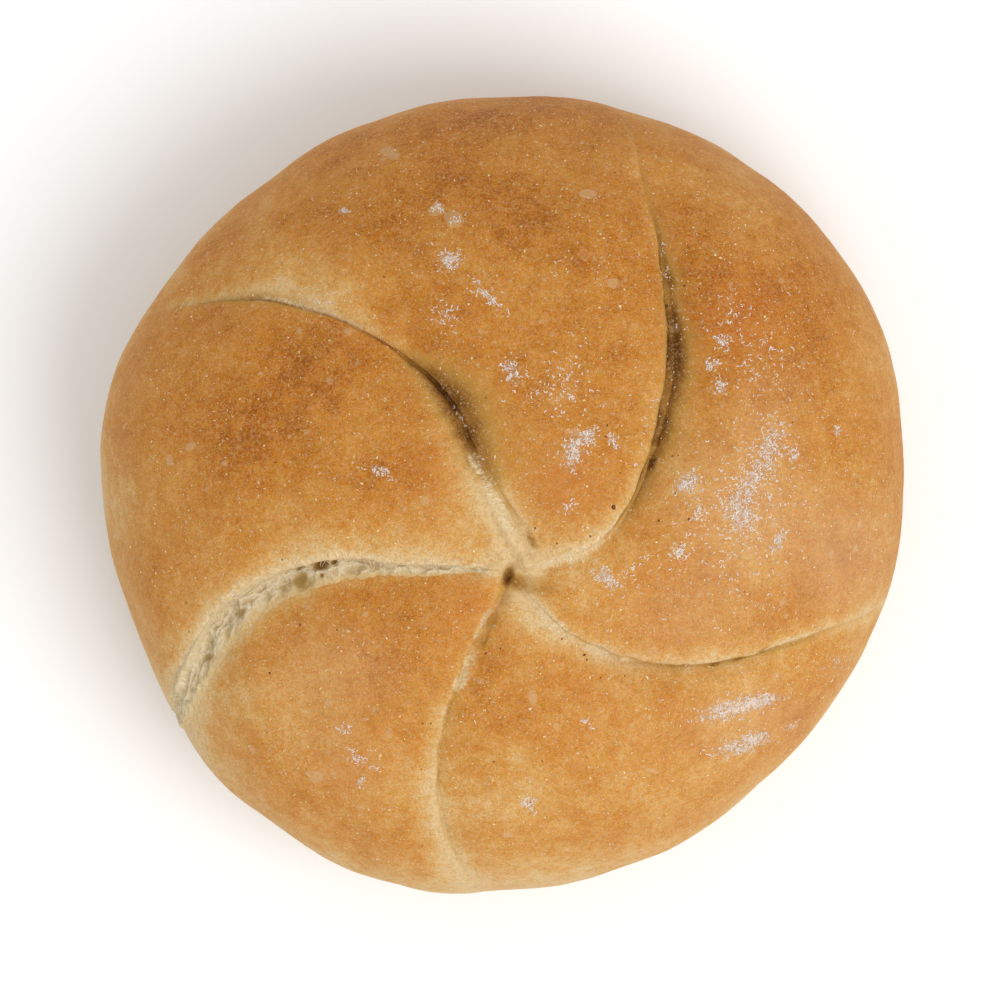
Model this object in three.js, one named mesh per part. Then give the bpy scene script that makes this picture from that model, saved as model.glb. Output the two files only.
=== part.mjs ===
// A kaiser roll: a round wheat roll about 100 mm across, pressed before baking with a stamp of
// five curved blades. The blades leave five cuts that wheel out from a star near the middle of
// the top, and the dough between them swells into five petals.
//
// Frame: millimetres, +Z up, origin on the table under the middle of the roll. Bearings are in
// degrees, counter-clockwise from +X as seen from above.
//
// The skin is one closed sheet. A sheet point has a column, which counts round the roll through
// the cuts and petals in turn, and a row, which runs from the star over the top, down the side
// and across the foot. The columns follow the cuts, so each crease keeps a sharp edge.

import * as THREE from "three";
import { mergeVertices } from "three/addons/utils/BufferGeometryUtils.js";

// ---- Driving dimensions ----------------------------------------------------------------------

const HEIGHT = 52; // table to the highest level of the dome
const BELLY_HEIGHT = 19; // level at which the side bulges furthest
const OUTLINE_RADIUS = 50; // plan outline before its swells and dips
const OUTLINE_SWELLS = [
  { bearing: 34, spread: 24, swell: 2.2 },
  { bearing: 65, spread: 16, swell: 0.6 },
  { bearing: 122, spread: 28, swell: -0.9 },
  { bearing: 166, spread: 14, swell: 0.8 },
  { bearing: 201, spread: 15, swell: -1.5 },
  { bearing: 242, spread: 26, swell: 0.3 },
  { bearing: 280, spread: 16, swell: -0.8 },
  { bearing: 316, spread: 24, swell: -1.6 },
];
const DOME_FULLNESS = 2.25; // superellipse power: 2 is a round dome, more is flatter on top
const SIDE_FULLNESS = 2.2;
const FOOT_SHARE = 0.7; // the flat foot's radius over the outline's
const STAR = new THREE.Vector2(0.9, -9.9); // where the five cuts meet, in plan
const STAR_BOWL = { depth: 2.0, radius: 9 }; // the hollow that the petals' tips slope into
const STAR_PIT = { depth: 1.8, radius: 0.9 }; // the small hole at the very middle of the star

// The cuts, counter-clockwise. Each list has one value for every fifth of the way from the star
// (first) to the belly (last). bearing is where the cut would meet the outline if it ran on
// straight from the star, gap is the breadth of the groove, depth how far the deeper petal edge
// beside it sinks below the dome, and pit how much deeper the groove is than the edges. lips are
// the shares of the depth at the petal before and the petal after the cut, and flanks the
// breadths over which those petals round down to it. lean is where across the groove the pit is
// deepest: 0 at the petal before, 1 at the petal after.
const CUTS = [
  // south-east
  {
    bearing: [-54, -55, -47, -37, -26, -16],
    gap: [0.2, 0.6, 0.8, 0.6, 0.5, 0.3],
    depth: [0.7, 1.2, 2.0, 2.2, 1.2, 0],
    pit: [0.3, 0.3, 0.5, 0.9, 0.4, 0],
    lips: [1, 0.5],
    flanks: [10, 6],
    lean: 0.6,
  },
  // north-east
  {
    bearing: [0, 5, 30, 47, 62, 73],
    gap: [0.2, 0.6, 1.9, 1.6, 0.7, 0.4],
    depth: [0.7, 1.2, 3.6, 3.4, 1.9, 0],
    pit: [0.3, 0.3, 2.6, 2.2, 0.8, 0],
    lips: [1, 0.45],
    flanks: [13, 5],
    lean: 0.65,
  },
  // north-west
  {
    bearing: [60, 103, 112, 125, 138, 154],
    gap: [0.2, 1.8, 2.2, 0.7, 0.5, 0.3],
    depth: [0.7, 1.0, 3.0, 1.9, 1.3, 0],
    pit: [0.3, 0.1, 1.9, 0.6, 0.4, 0],
    lips: [1, 0.55],
    flanks: [12, 6],
    lean: 0.5,
  },
  // west
  {
    bearing: [181, 189, 190, 195, 203, 215],
    gap: [0.2, 1.4, 2.9, 3.3, 4.2, 2.6],
    depth: [0.7, 1.4, 2.1, 2.2, 1.8, 0.2],
    pit: [0.3, 0.9, 1.7, 1.9, 1.5, 0.3],
    lips: [0.5, 1],
    flanks: [5, 9],
    lean: 0.3,
  },
  // south
  {
    bearing: [257, 250, 251, 254, 259, 267],
    gap: [0.2, 0.8, 0.6, 0.5, 0.4, 0.3],
    depth: [0.7, 1.4, 1.5, 1.4, 1.1, 0.2],
    pit: [0.3, 0.9, 0.5, 0.4, 0.3, 0],
    lips: [0.8, 1],
    flanks: [8, 10],
    lean: 0.5,
  },
];
const EDGE_ROUNDNESS = 1.6; // how plumply a petal rounds over: 1 is straight, 2 a quarter circle
const CUT_FADE = 0.55; // share of the lower side over which the cuts die out
const LUMPS = { height: 0.3, waves: 5, shortest: 15, longest: 50, phase: 4.5 }; // uneven rise
const FOOT_EASE = 8; // height above the table over which the lumps grow from nothing

// ---- Mesh density ----------------------------------------------------------------------------

const GAP_COLUMNS = 5; // across each groove
const PETAL_COLUMNS = 18; // across each petal
const DOME_ROWS = 38; // star to belly
const SIDE_ROWS = 11; // belly to the foot's edge
const FOOT_ROWS = 1; // across the flat foot
const STAR_CROWDING = 1.3; // 1 spaces the dome's rows evenly in slope, more packs them at the star
const EDGE_CROWDING = 0.65; // 0 spreads the petal columns evenly, near 1 packs them at the cuts

const SECTOR_COLUMNS = GAP_COLUMNS + PETAL_COLUMNS;
const COLUMNS = CUTS.length * SECTOR_COLUMNS;
const ROWS = DOME_ROWS + SIDE_ROWS + FOOT_ROWS;

// ---- Small helpers ---------------------------------------------------------------------------

const GOLDEN_ANGLE = 137.5; // degrees: turning by it over and over never repeats a heading
const { lerp, clamp, degToRad, smoothstep, euclideanModulo } = THREE.MathUtils;

// The value at share 0 to 1 along a list of evenly spaced values, on a Catmull-Rom curve.
function along(values, share) {
  const last = values.length - 1;
  const place = clamp(share, 0, 1) * last;
  const i = Math.min(Math.floor(place), last - 1);
  const t = place - i;
  const before = i > 0 ? values[i - 1] : 2 * values[0] - values[1];
  const after = i + 2 <= last ? values[i + 2] : 2 * values[last] - values[last - 1];
  const [a, b] = [values[i], values[i + 1]];
  const bend = 2 * before - 5 * a + 4 * b - after;
  const twist = 3 * a - before - 3 * b + after;
  return 0.5 * (2 * a + (b - before) * t + bend * t * t + twist * t ** 3);
}

// Radius of the plan outline at a bearing.
function outlineRadius(bearing) {
  return OUTLINE_SWELLS.reduce((radius, { bearing: middle, spread, swell }) => {
    const off = euclideanModulo(bearing - middle + 180, 360) - 180;
    return radius + swell * Math.exp(-((off / spread) ** 2));
  }, OUTLINE_RADIUS);
}

function outlinePoint(bearing) {
  const radius = outlineRadius(bearing);
  return new THREE.Vector2(
    radius * Math.cos(degToRad(bearing)),
    radius * Math.sin(degToRad(bearing)),
  );
}

// ---- The smooth loaf, before the cuts --------------------------------------------------------

// Where a row lies: reach is 0 at the star and 1 at the belly, drop 0 at the belly and 1 at the
// foot's edge, and foot 0 at the foot's edge and 1 at its middle.
function rowPlace(row) {
  if (row <= DOME_ROWS) {
    const turn = (row / DOME_ROWS) ** STAR_CROWDING * (Math.PI / 2);
    return { reach: Math.sin(turn) ** (2 / DOME_FULLNESS), drop: 0, foot: 0 };
  }
  if (row <= DOME_ROWS + SIDE_ROWS) {
    return { reach: 1, drop: (row - DOME_ROWS) / SIDE_ROWS, foot: 0 };
  }
  return { reach: 1, drop: 1, foot: (row - DOME_ROWS - SIDE_ROWS) / FOOT_ROWS };
}

// Height of the dome over a plan point.
function domeHeight(plan) {
  const bearing = THREE.MathUtils.radToDeg(plan.angle());
  const share = Math.min(plan.length() / outlineRadius(bearing), 1);
  const rise = (1 - share ** DOME_FULLNESS) ** (1 / DOME_FULLNESS);
  return lerp(BELLY_HEIGHT, HEIGHT, rise);
}

function loafPoint(bearing, place) {
  const rim = outlinePoint(bearing);
  if (place.drop === 0) {
    const plan = STAR.clone().lerp(rim, place.reach);
    return new THREE.Vector3(plan.x, plan.y, domeHeight(plan));
  }
  const turn = place.drop * (Math.PI / 2);
  const tuck = Math.max(Math.cos(turn), 0) ** (2 / SIDE_FULLNESS);
  const sink = Math.sin(turn) ** (2 / SIDE_FULLNESS);
  const share = lerp(FOOT_SHARE, 1, tuck) * (1 - place.foot);
  return new THREE.Vector3(rim.x * share, rim.y * share, BELLY_HEIGHT * (1 - sink));
}

// ---- The cuts and petals ---------------------------------------------------------------------

// Each cut's own values at a place, with the groove's breadth also as an angle.
function cutAt(cut, place) {
  const ring = Math.max(place.reach, 0.01) * OUTLINE_RADIUS;
  const fade = 1 - smoothstep(place.drop, 0, CUT_FADE);
  const gap = Math.max(along(cut.gap, place.reach), 0) * fade;
  const depth = Math.max(along(cut.depth, place.reach), 0) * fade;
  return {
    bearing: along(cut.bearing, place.reach),
    halfGap: THREE.MathUtils.radToDeg(gap / 2 / ring),
    sunkBefore: depth * cut.lips[0],
    sunkAfter: depth * cut.lips[1],
    pit: Math.max(along(cut.pit, place.reach), 0) * fade,
    ring,
  };
}

// How far down its depth a petal's edge is, at q of the way from the cut to the flank's end.
function edgeDrop(q) {
  if (q >= 1) return 0;
  return 1 - (1 - (1 - q) ** EDGE_ROUNDNESS) ** (1 / EDGE_ROUNDNESS);
}

// How far the skin lies under the dome round the star.
function starHollow(point) {
  const distance = Math.hypot(point.x - STAR.x, point.y - STAR.y);
  const hollow = ({ depth, radius }) => depth * Math.exp(-((distance / radius) ** 2));
  return hollow(STAR_BOWL) + hollow(STAR_PIT);
}

// Spreads 0 to 1 so that its ends are crowded.
function crowd(t) {
  return t - (EDGE_CROWDING * Math.sin(2 * Math.PI * t)) / (2 * Math.PI);
}

// The bearing of a column at a place, and how far the skin lies under the smooth loaf there.
function skinAt(column, place) {
  const sector = Math.floor(column / SECTOR_COLUMNS) % CUTS.length;
  const step = column % SECTOR_COLUMNS;
  const here = cutAt(CUTS[sector], place);
  if (step < GAP_COLUMNS) {
    const t = step / GAP_COLUMNS;
    const skewed = t ** (Math.log(0.5) / Math.log(CUTS[sector].lean));
    return {
      bearing: here.bearing + here.halfGap * (2 * t - 1),
      sunk: lerp(here.sunkBefore, here.sunkAfter, t) + here.pit * Math.sin(Math.PI * skewed),
    };
  }
  const nextSector = (sector + 1) % CUTS.length;
  const next = cutAt(CUTS[nextSector], place);
  const start = here.bearing + here.halfGap;
  const end = next.bearing + (nextSector === 0 ? 360 : 0) - next.halfGap;
  const t = crowd((step - GAP_COLUMNS) / PETAL_COLUMNS);
  const breadth = degToRad(end - start) * here.ring;
  const flankAfter = Math.min(CUTS[sector].flanks[1], breadth / 2);
  const flankBefore = Math.min(CUTS[nextSector].flanks[0], breadth / 2);
  return {
    bearing: lerp(start, end, t),
    sunk:
      here.sunkAfter * edgeDrop((t * breadth) / flankAfter) +
      next.sunkBefore * edgeDrop(((1 - t) * breadth) / flankBefore),
  };
}

// How far the skin swells at a point of the loaf: a few long waves that cross each other.
function lumpAt(point) {
  let sum = 0;
  for (let i = 0; i < LUMPS.waves; i++) {
    const heading = degToRad(i * GOLDEN_ANGLE);
    const run = point.x * Math.cos(heading) + point.y * Math.sin(heading) + point.z / 2;
    const length = lerp(LUMPS.shortest, LUMPS.longest, i / (LUMPS.waves - 1));
    sum += Math.sin((2 * Math.PI * run) / length + i * LUMPS.phase);
  }
  return (LUMPS.height * sum * smoothstep(point.z, 0, FOOT_EASE)) / Math.sqrt(LUMPS.waves);
}

// ---- The roll --------------------------------------------------------------------------------

// A sphere's mesh gives the sheet its closed pattern of faces: its uv values are the column and
// the row of each vertex.
function makeRollGeometry() {
  const sheet = new THREE.SphereGeometry(1, COLUMNS, ROWS);
  const { position, uv } = sheet.attributes;
  const sunk = [];
  for (let i = 0; i < position.count; i++) {
    const row = Math.round((1 - uv.getY(i)) * ROWS);
    const column = row === 0 || row === ROWS ? 0 : Math.round(uv.getX(i) * COLUMNS);
    const place = rowPlace(row);
    const skin = skinAt(column, place);
    const point = loafPoint(skin.bearing, place);
    position.setXYZ(i, point.x, point.y, point.z);
    sunk.push(skin.sunk + (place.drop > 0 ? 0 : starHollow(point)) - lumpAt(point));
  }
  return sinkAlongNormals(sheet, sunk);
}

// Moves each vertex in along the smooth loaf's normal, and returns the sheet with its seam and
// poles merged and its bounding box centred over the origin.
function sinkAlongNormals(sheet, sunk) {
  sheet.setAttribute("sunk", new THREE.Float32BufferAttribute(sunk, 1));
  sheet.deleteAttribute("uv");
  sheet.deleteAttribute("normal");
  const skin = mergeVertices(sheet, 1e-4);
  skin.computeVertexNormals();
  const { position, normal, sunk: depth } = skin.attributes;
  for (let i = 0; i < position.count; i++) {
    const point = new THREE.Vector3().fromBufferAttribute(position, i);
    const out = new THREE.Vector3().fromBufferAttribute(normal, i);
    point.addScaledVector(out, -depth.getX(i));
    position.setXYZ(i, point.x, point.y, point.z);
  }
  skin.deleteAttribute("sunk");
  skin.computeBoundingBox();
  const middle = skin.boundingBox.getCenter(new THREE.Vector3());
  skin.translate(-middle.x, -middle.y, 0);
  skin.computeVertexNormals();
  return skin;
}

const crust = new THREE.MeshStandardMaterial({ color: 0xc79052, roughness: 0.75, metalness: 0 });
const roll = new THREE.Mesh(makeRollGeometry(), crust);
roll.name = "roll";

const group = new THREE.Group();
group.name = "kaiser_roll";
group.add(roll);

export default group;
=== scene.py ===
# %% [markdown]
# # A kaiser roll
# A kaiser roll is a round wheat roll whose top is pressed with a stamp of five curved blades
# before it is baked. The five cuts wheel out from a star near the middle, and the dough
# between them swells into five petals. Here the roll is built as one sheet of dough that is
# wrapped, pressed, torn, baked and floured, in that order.
#
# The imported model comes first. It gives the body that every piece rides on.

# %% Load the frame
import math
import random

import bmesh
import bpy
import numpy as np
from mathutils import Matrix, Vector, noise
from mathutils.bvhtree import BVHTree


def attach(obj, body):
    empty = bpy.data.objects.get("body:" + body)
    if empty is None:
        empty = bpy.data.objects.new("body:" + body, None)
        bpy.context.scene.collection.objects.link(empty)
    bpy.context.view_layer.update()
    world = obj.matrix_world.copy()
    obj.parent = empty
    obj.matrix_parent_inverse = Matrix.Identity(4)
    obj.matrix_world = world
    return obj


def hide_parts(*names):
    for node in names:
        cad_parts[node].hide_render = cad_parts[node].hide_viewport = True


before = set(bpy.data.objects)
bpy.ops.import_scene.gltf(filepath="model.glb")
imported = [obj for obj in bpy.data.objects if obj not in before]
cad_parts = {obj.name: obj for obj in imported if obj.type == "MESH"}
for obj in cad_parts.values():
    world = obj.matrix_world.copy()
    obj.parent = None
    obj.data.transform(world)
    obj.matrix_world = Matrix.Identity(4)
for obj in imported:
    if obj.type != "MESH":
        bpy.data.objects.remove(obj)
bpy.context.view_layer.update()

# %% [markdown]
# ## The roll's own sizes
# These are the sizes of the solid, so that the finished skin lies where the solid does. They
# are millimetres and degrees. `MM` turns a millimetre into Blender's metre at the very end.

# %% Sizes of the roll
MM = 0.001
HEIGHT = 52.0  # table to the highest level of the dome
BELLY_HEIGHT = 19.0  # level at which the side bulges furthest
OUTLINE_RADIUS = 50.0  # plan outline before its swells and dips
OUTLINE_SWELLS = [  # bearing, spread, swell
    (34.0, 24.0, 2.2),
    (65.0, 16.0, 0.6),
    (122.0, 28.0, -0.9),
    (166.0, 14.0, 0.8),
    (201.0, 15.0, -1.5),
    (242.0, 26.0, 0.3),
    (280.0, 16.0, -0.8),
    (316.0, 24.0, -1.6),
]
DOME_FULLNESS = 2.25  # superellipse power: 2 is a round dome, more is flatter on top
SIDE_FULLNESS = 2.2
FOOT_SHARE = 0.7  # the flat foot's radius over the outline's
STAR = np.array([0.9, -9.9])  # where the five cuts meet, in plan
STAR_BOWL = (2.0, 9.0)  # depth and radius of the hollow that the petals' tips slope into
CUT_FADE = 0.55  # share of the lower side over which the cuts die out
LUMP_HEIGHT, LUMP_WAVES, LUMP_LENGTHS, LUMP_PHASE = 0.3, 5, (15.0, 50.0), 4.5
GOLDEN_ANGLE = 137.5  # degrees: turning by it over and over never repeats a heading
FOOT_EASE = 8.0  # height above the table over which the lumps grow from nothing

# %% [markdown]
# ## The five cuts
# Each cut has six stations, from the star to the belly. `bearing` is its direction, `gap` the
# breadth of the groove, `depth` how far the petal edges sink and `pit` how much deeper the
# groove is. `lips` share the depth between the petal before and the petal after the cut, and
# `flanks` are the breadths over which those petals round down. `plumpness` shapes the higher
# lip: at 1 it would be a plain slope, and at 3 it is as full as a pillow. `lean` is where
# across the groove it is deepest, and `under` how far the groove runs in under that lip.
# `cream_before` and `cream_after` are the breadths of pale crust beside the cut: dough that
# the stamp had folded in, so that it browned late or not at all. Narrow bands are faint too.
# `crease` is how dark the dough is painted at the bottom of the fold: painted shade, with the
# olive of wet dough. `damp_and_shade` is how far that spreads up the two sides, and `room` how
# much deeper the groove is cut where torn crumb lies.
# `starts` is the share of the way to the belly at which the cut reaches its full depth, and
# most start at `USUAL_START`. A cut without `under`, `crease` or `room` has none. `torn` says
# where the skin beside the cut came off in shreds: the share of the way to the belly, and the
# breadths of torn skin before and after the cut.

# %% The cuts, counter-clockwise
USUAL_START = 0.09
CUTS = {
    "south_east": dict(
        bearing=[-54, -55, -47, -37, -26, -16],
        gap=[0.2, 0.9, 0.8, 0.4, 0.5, 0.3],
        depth=[0.5, 0.9, 2.0, 2.2, 1.2, 0],
        pit=[0.1, 0.3, 0.4, 0.7, 0.3, 0],
        lips=(1, 0.5),
        flanks=(10, 6),
        plumpness=2.2,
        lean=0.7,
        under=[0, 0, 0, 0.3, 0, 0],
        crease=[0, 0.1, 0.2, 0.42, 0.5, 0.1],
        damp_and_shade=(1.1, 0.25),
        cream_before=[2.6, 2.4, 2.0, 1.4, 1.2, 1.2],
        cream_after=[1.2, 1.5, 1.7, 1.7, 1.8, 1.5],
        torn=[(0.03, 0, 0), (0.08, 0.2, 0.3), (0.15, 0.5, 0.4), (0.22, 0.8, 0.5), (0.28, 0.5, 0.3),
              (0.31, 0.1, 0.1), (0.35, 0.7, 0.5), (0.42, 0.7, 0.2), (0.48, 0.1, 0), (0.72, 0, 0),
              (0.78, 0.2, 0.8), (0.84, 0.1, 0.7), (0.9, 0, 0)],
    ),
    "north_east": dict(
        bearing=[0, 5, 30, 47, 62, 73],
        gap=[0.2, 0.9, 1.1, 1.7, 0.6, 0.3],
        depth=[0.5, 1.0, 3.6, 3.4, 1.9, 0],
        pit=[0.1, 0.3, 2.4, 2.2, 0.8, 0],
        lips=(1, 0.45),
        flanks=(13, 5),
        plumpness=2.4,
        lean=0.7,
        under=[0, 0, 0.6, 0.7, 0.1, 0],
        crease=[0, 0, 0.75, 1.3, 0.6, 0.1],
        damp_and_shade=(1.35, 0.25),
        cream_before=[1.4, 1.2, 1.1, 1.2, 0.6, 0.3],
        cream_after=[2.6, 2.4, 1.4, 1.1, 1.2, 0.5],
        torn=[(0.03, 0, 0), (0.08, 0.2, 0.4), (0.18, 0.3, 0.6), (0.26, 0.2, 0.7), (0.3, 0, 0.3),
              (0.34, 0, 0)],
    ),
    "north_west": dict(
        starts=0.25,
        bearing=[60, 103, 112, 125, 138, 154],
        gap=[0.2, 0.9, 1.1, 0.4, 0.4, 0.3],
        depth=[0.2, 0.8, 3.0, 1.9, 1.3, 0],
        pit=[0, 0.2, 1.9, 0.6, 0.4, 0],
        lips=(1, 0.55),
        flanks=(12, 6),
        plumpness=1.35,
        lean=0.45,
        crease=[0, 0.5, 1.0, -0.1, 0.4, 0],
        damp_and_shade=(2.5, 1.0),
        cream_before=[2.2, 2.0, 1.0, 2.0, 3.0, 0.8],
        cream_after=[3.4, 3.2, 1.6, 0.6, 0.5, 0.5],
        torn=[(0.11, 0, 0), (0.13, 0.2, 0.6), (0.16, 0.2, 0.8), (0.2, 0, 0.7), (0.24, 0, 0.5),
              (0.28, 0, 0.2), (0.3, 0, 0), (0.6, 0, 0), (0.65, 0.6, 0.1), (0.76, 0.8, 0.1),
              (0.82, 0.3, 0), (0.88, 0, 0)],
    ),
    "west": dict(
        bearing=[181, 189, 190, 195, 203, 215],
        gap=[0.2, 1.3, 2.9, 3.4, 4.2, 2.6],
        depth=[0.5, 1.4, 2.1, 2.2, 1.8, 0.2],
        pit=[0.3, 0.9, 1.7, 1.9, 1.5, 0.3],
        lips=(0.5, 1),
        flanks=(5, 9),
        plumpness=1.8,
        lean=0.35,
        under=[0, 0.3, 0.6, 0.6, 0.3, 0],
        damp_and_shade=(0.3, 0.3),
        room=[0, 0.3, 0.5, 0.5, 0.5, 0.3],
        cream_before=[2.4, 2.5, 2.2, 2.1, 2.6, 3.0],
        cream_after=[1.6, 1.0, 1.3, 1.7, 1.9, 2.2],
        torn=[(0.02, 0, 0), (0.07, 0.5, 0.1), (0.3, 1.1, 0.1), (0.6, 1.1, 0.2), (0.85, 1.2, 0.4),
              (1.05, 0.9, 0.4), (1.2, 0, 0)],
    ),
    "south": dict(
        bearing=[257, 250, 251, 254, 259, 267],
        gap=[0.2, 0.4, 0.4, 0.3, 0.3, 0.3],
        depth=[0.5, 1.4, 1.5, 1.4, 1.1, 0.2],
        pit=[0.1, 0.2, 0.2, 0.1, 0.1, 0],
        lips=(0.8, 1),
        flanks=(8, 10),
        plumpness=1.6,
        lean=0.5,
        crease=[0, 0.2, 0.3, 0.25, 0.25, 0.1],
        damp_and_shade=(0.2, 1.1),
        cream_before=[1.2, 1.0, 1.5, 2.1, 2.4, 1.6],
        cream_after=[1.6, 1.2, 1.2, 1.4, 1.4, 1.0],
        torn=[(0.1, 0, 0), (0.13, 0.35, 0), (0.24, 0.35, 0.1), (0.28, 0.3, 0.6), (0.35, 0.3, 0.7),
              (0.4, 0.3, 0.1), (0.6, 0.2, 0), (0.9, 0.1, 0), (1, 0, 0)],
    ),
}

# %% [markdown]
# ## A sheet of dough
# The skin starts as a flat grid, like rolled dough. Its x runs round the roll through the cuts
# and petals in turn, and its y runs from the foot up to the star. A grid is used because its
# rows and columns can follow the cuts, which keeps every crease sharp without a boolean.

# %% Roll out the sheet
GAP_COLUMNS = 18
PETAL_COLUMNS = 78
SECTOR = GAP_COLUMNS + PETAL_COLUMNS
COLUMNS = len(CUTS) * SECTOR
DOME_ROWS, SIDE_ROWS, FOOT_ROWS = 165, 30, 8
ROWS = DOME_ROWS + SIDE_ROWS + FOOT_ROWS
STAR_CROWDING = 1.25  # more packs the dome's rows at the star
EDGE_CROWDING = 0.55  # nearer 1 packs the petals' columns at the cuts


def to_mesh(name, shape):
    """Turns a bmesh into a mesh and frees it."""
    mesh = bpy.data.meshes.new(name)
    shape.to_mesh(mesh)
    shape.free()
    return mesh


def put_in_scene(name, data):
    placed = bpy.data.objects.new(name, data)
    bpy.context.scene.collection.objects.link(placed)
    return placed


def count_triangles(mesh):
    return sum(len(face.vertices) - 2 for face in mesh.polygons)


dough = bmesh.new()
bmesh.ops.create_grid(dough, x_segments=COLUMNS, y_segments=ROWS, size=1)
sheet = to_mesh("crust", dough)
flat = np.empty(len(sheet.vertices) * 3)
sheet.vertices.foreach_get("co", flat)
flat = flat.reshape(-1, 3)
sheet_column = np.rint((flat[:, 0] + 1) / 2 * COLUMNS).astype(int) % COLUMNS
sheet_row = np.rint((1 - flat[:, 1]) / 2 * ROWS).astype(int)
print("sheet:", COLUMNS, "columns,", ROWS, "rows,", len(sheet.polygons), "faces")

# %% [markdown]
# ## The smooth loaf
# Every row has a place on the loaf: how far it reaches from the star to the belly, how far it
# drops from the belly to the foot's edge, and how far it runs in under the foot. Dome and side
# are superellipses, because they have one number for fullness and meet the belly upright.


# %% Where the rows lie
def along(values, share):
    """The value at share 0 to 1 along evenly spaced values, on a Catmull-Rom curve."""
    v = np.array([2 * values[0] - values[1], *values, 2 * values[-1] - values[-2]], float)
    place = np.clip(share, 0, 1) * (len(values) - 1)
    i = np.minimum(place.astype(int), len(values) - 2)
    t = place - i
    before, a, b, after = v[i], v[i + 1], v[i + 2], v[i + 3]
    bend = 2 * before - 5 * a + 4 * b - after
    twist = 3 * a - before - 3 * b + after
    return 0.5 * (2 * a + (b - before) * t + bend * t**2 + twist * t**3)


def smoothstep(x, low, high):
    t = np.clip((x - low) / (high - low), 0, 1)
    return t * t * (3 - 2 * t)


row = np.arange(ROWS + 1)
dome_turn = np.clip(row / DOME_ROWS, 0, 1) ** STAR_CROWDING * math.pi / 2
reach = np.sin(dome_turn) ** (2 / DOME_FULLNESS)
drop = np.clip((row - DOME_ROWS) / SIDE_ROWS, 0, 1)
foot = np.clip((row - DOME_ROWS - SIDE_ROWS) / FOOT_ROWS, 0, 1)
ring = np.maximum(reach, 0.01) * OUTLINE_RADIUS
cut_fade = 1 - smoothstep(drop, 0, CUT_FADE)
travel = reach + drop  # shares of the way to the belly, and on down the side
print("rows: belly at row", DOME_ROWS, "foot's edge at row", DOME_ROWS + SIDE_ROWS)

# %% [markdown]
# The outline is a circle with a few swells and dips, and the star is a little off its middle.
# `loaf_point` gives the place and the outward direction of any bearing and row. The direction
# comes from the slope of the superellipse, so it needs no mesh.


# %% Place and direction on the smooth loaf
def outline_radius(bearing):
    radius = np.full(np.shape(bearing), OUTLINE_RADIUS)
    for middle, spread, swell in OUTLINE_SWELLS:
        off = (bearing - middle + 180) % 360 - 180
        radius = radius + swell * np.exp(-((off / spread) ** 2))
    return radius


def outline_point(bearing):
    angle = np.radians(bearing)
    radius = outline_radius(bearing)
    return radius * np.cos(angle), radius * np.sin(angle)


def loaf_point(bearing, rows):
    """Points and outward unit normals, in mm, for arrays of bearings and row numbers."""
    rim_x, rim_y = outline_point(bearing)
    r, d, f = reach[rows], drop[rows], foot[rows]
    tuck = np.maximum(np.cos(d * math.pi / 2), 0) ** (2 / SIDE_FULLNESS)
    sink = np.sin(d * math.pi / 2) ** (2 / SIDE_FULLNESS)
    shrink = np.where(d > 0, (FOOT_SHARE + (1 - FOOT_SHARE) * tuck) * (1 - f), 1)
    x = np.where(d > 0, rim_x * shrink, STAR[0] * (1 - r) + rim_x * r)
    y = np.where(d > 0, rim_y * shrink, STAR[1] * (1 - r) + rim_y * r)
    angle = np.degrees(np.arctan2(y, x))
    radius = outline_radius(angle)
    share = np.minimum(np.hypot(x, y) / radius, 1)
    rise = (1 - share**DOME_FULLNESS) ** (1 / DOME_FULLNESS)
    z = np.where(d > 0, BELLY_HEIGHT * (1 - sink), BELLY_HEIGHT + (HEIGHT - BELLY_HEIGHT) * rise)
    across = np.where(d > 0, tuck ** (SIDE_FULLNESS - 1) / (1 - FOOT_SHARE),
                      share ** (DOME_FULLNESS - 1)) / radius
    up = np.where(d > 0, -(sink ** (SIDE_FULLNESS - 1)) / BELLY_HEIGHT,
                  rise ** (DOME_FULLNESS - 1) / (HEIGHT - BELLY_HEIGHT))
    slope = (outline_radius(angle + 0.5) - outline_radius(angle - 0.5)) / math.radians(1) / radius
    turn = np.radians(angle)
    normal = np.stack([
        across * (np.cos(turn) + slope * np.sin(turn)),
        across * (np.sin(turn) - slope * np.cos(turn)),
        up,
    ], axis=-1)
    normal[d >= 1] = (0, 0, -1)
    normal /= np.linalg.norm(normal, axis=-1, keepdims=True)
    return np.stack([x, y, z], axis=-1), normal


# %% [markdown]
# ## Pressing the cuts
# A stamped edge is never ruler-straight: the dough tears a little as it opens. So each cut's
# edges get a small wander, long and short, from smooth noise. A petal's higher lip rounds over
# plumply, like a filled bag, and the lower one slopes down softly into the fold.

# %% Edges that wander, lips that round over
WANDERS = [(2.6, 0.18), (0.9, 0.10), (0.45, 0.05)]  # mm from one stray to the next, mm strayed


def down_the_rows(seed, length):
    """Smooth noise of -1 to 1 down the rows, with a wave of about this many mm."""
    distance = (reach + drop * BELLY_HEIGHT / OUTLINE_RADIUS) * OUTLINE_RADIUS
    return np.array([noise.noise(Vector((s / length, seed, 0.5))) * 1.6 for s in distance])


def wander(seed):
    return sum(height * down_the_rows(seed, length) for length, height in WANDERS)


def edge_drop(q, plumpness):
    """How far down its depth a petal's edge is, at q of the way from the cut to the flank's end."""
    near = 1 - np.clip(q, 0, 1)
    if plumpness is None:
        return near**1.8
    return 1 - (1 - near**plumpness) ** (1 / plumpness)


# %% [markdown]
# `cut_down_the_rows` works one cut out at every row. All cuts run out before they reach the
# star, where the hole and the knot of dough take over, and low on the side. The narrow ones
# open and close along their length, because a fold sticks together in places.

# %% One cut, at every row
CUT_NAMES = list(CUTS)


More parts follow.
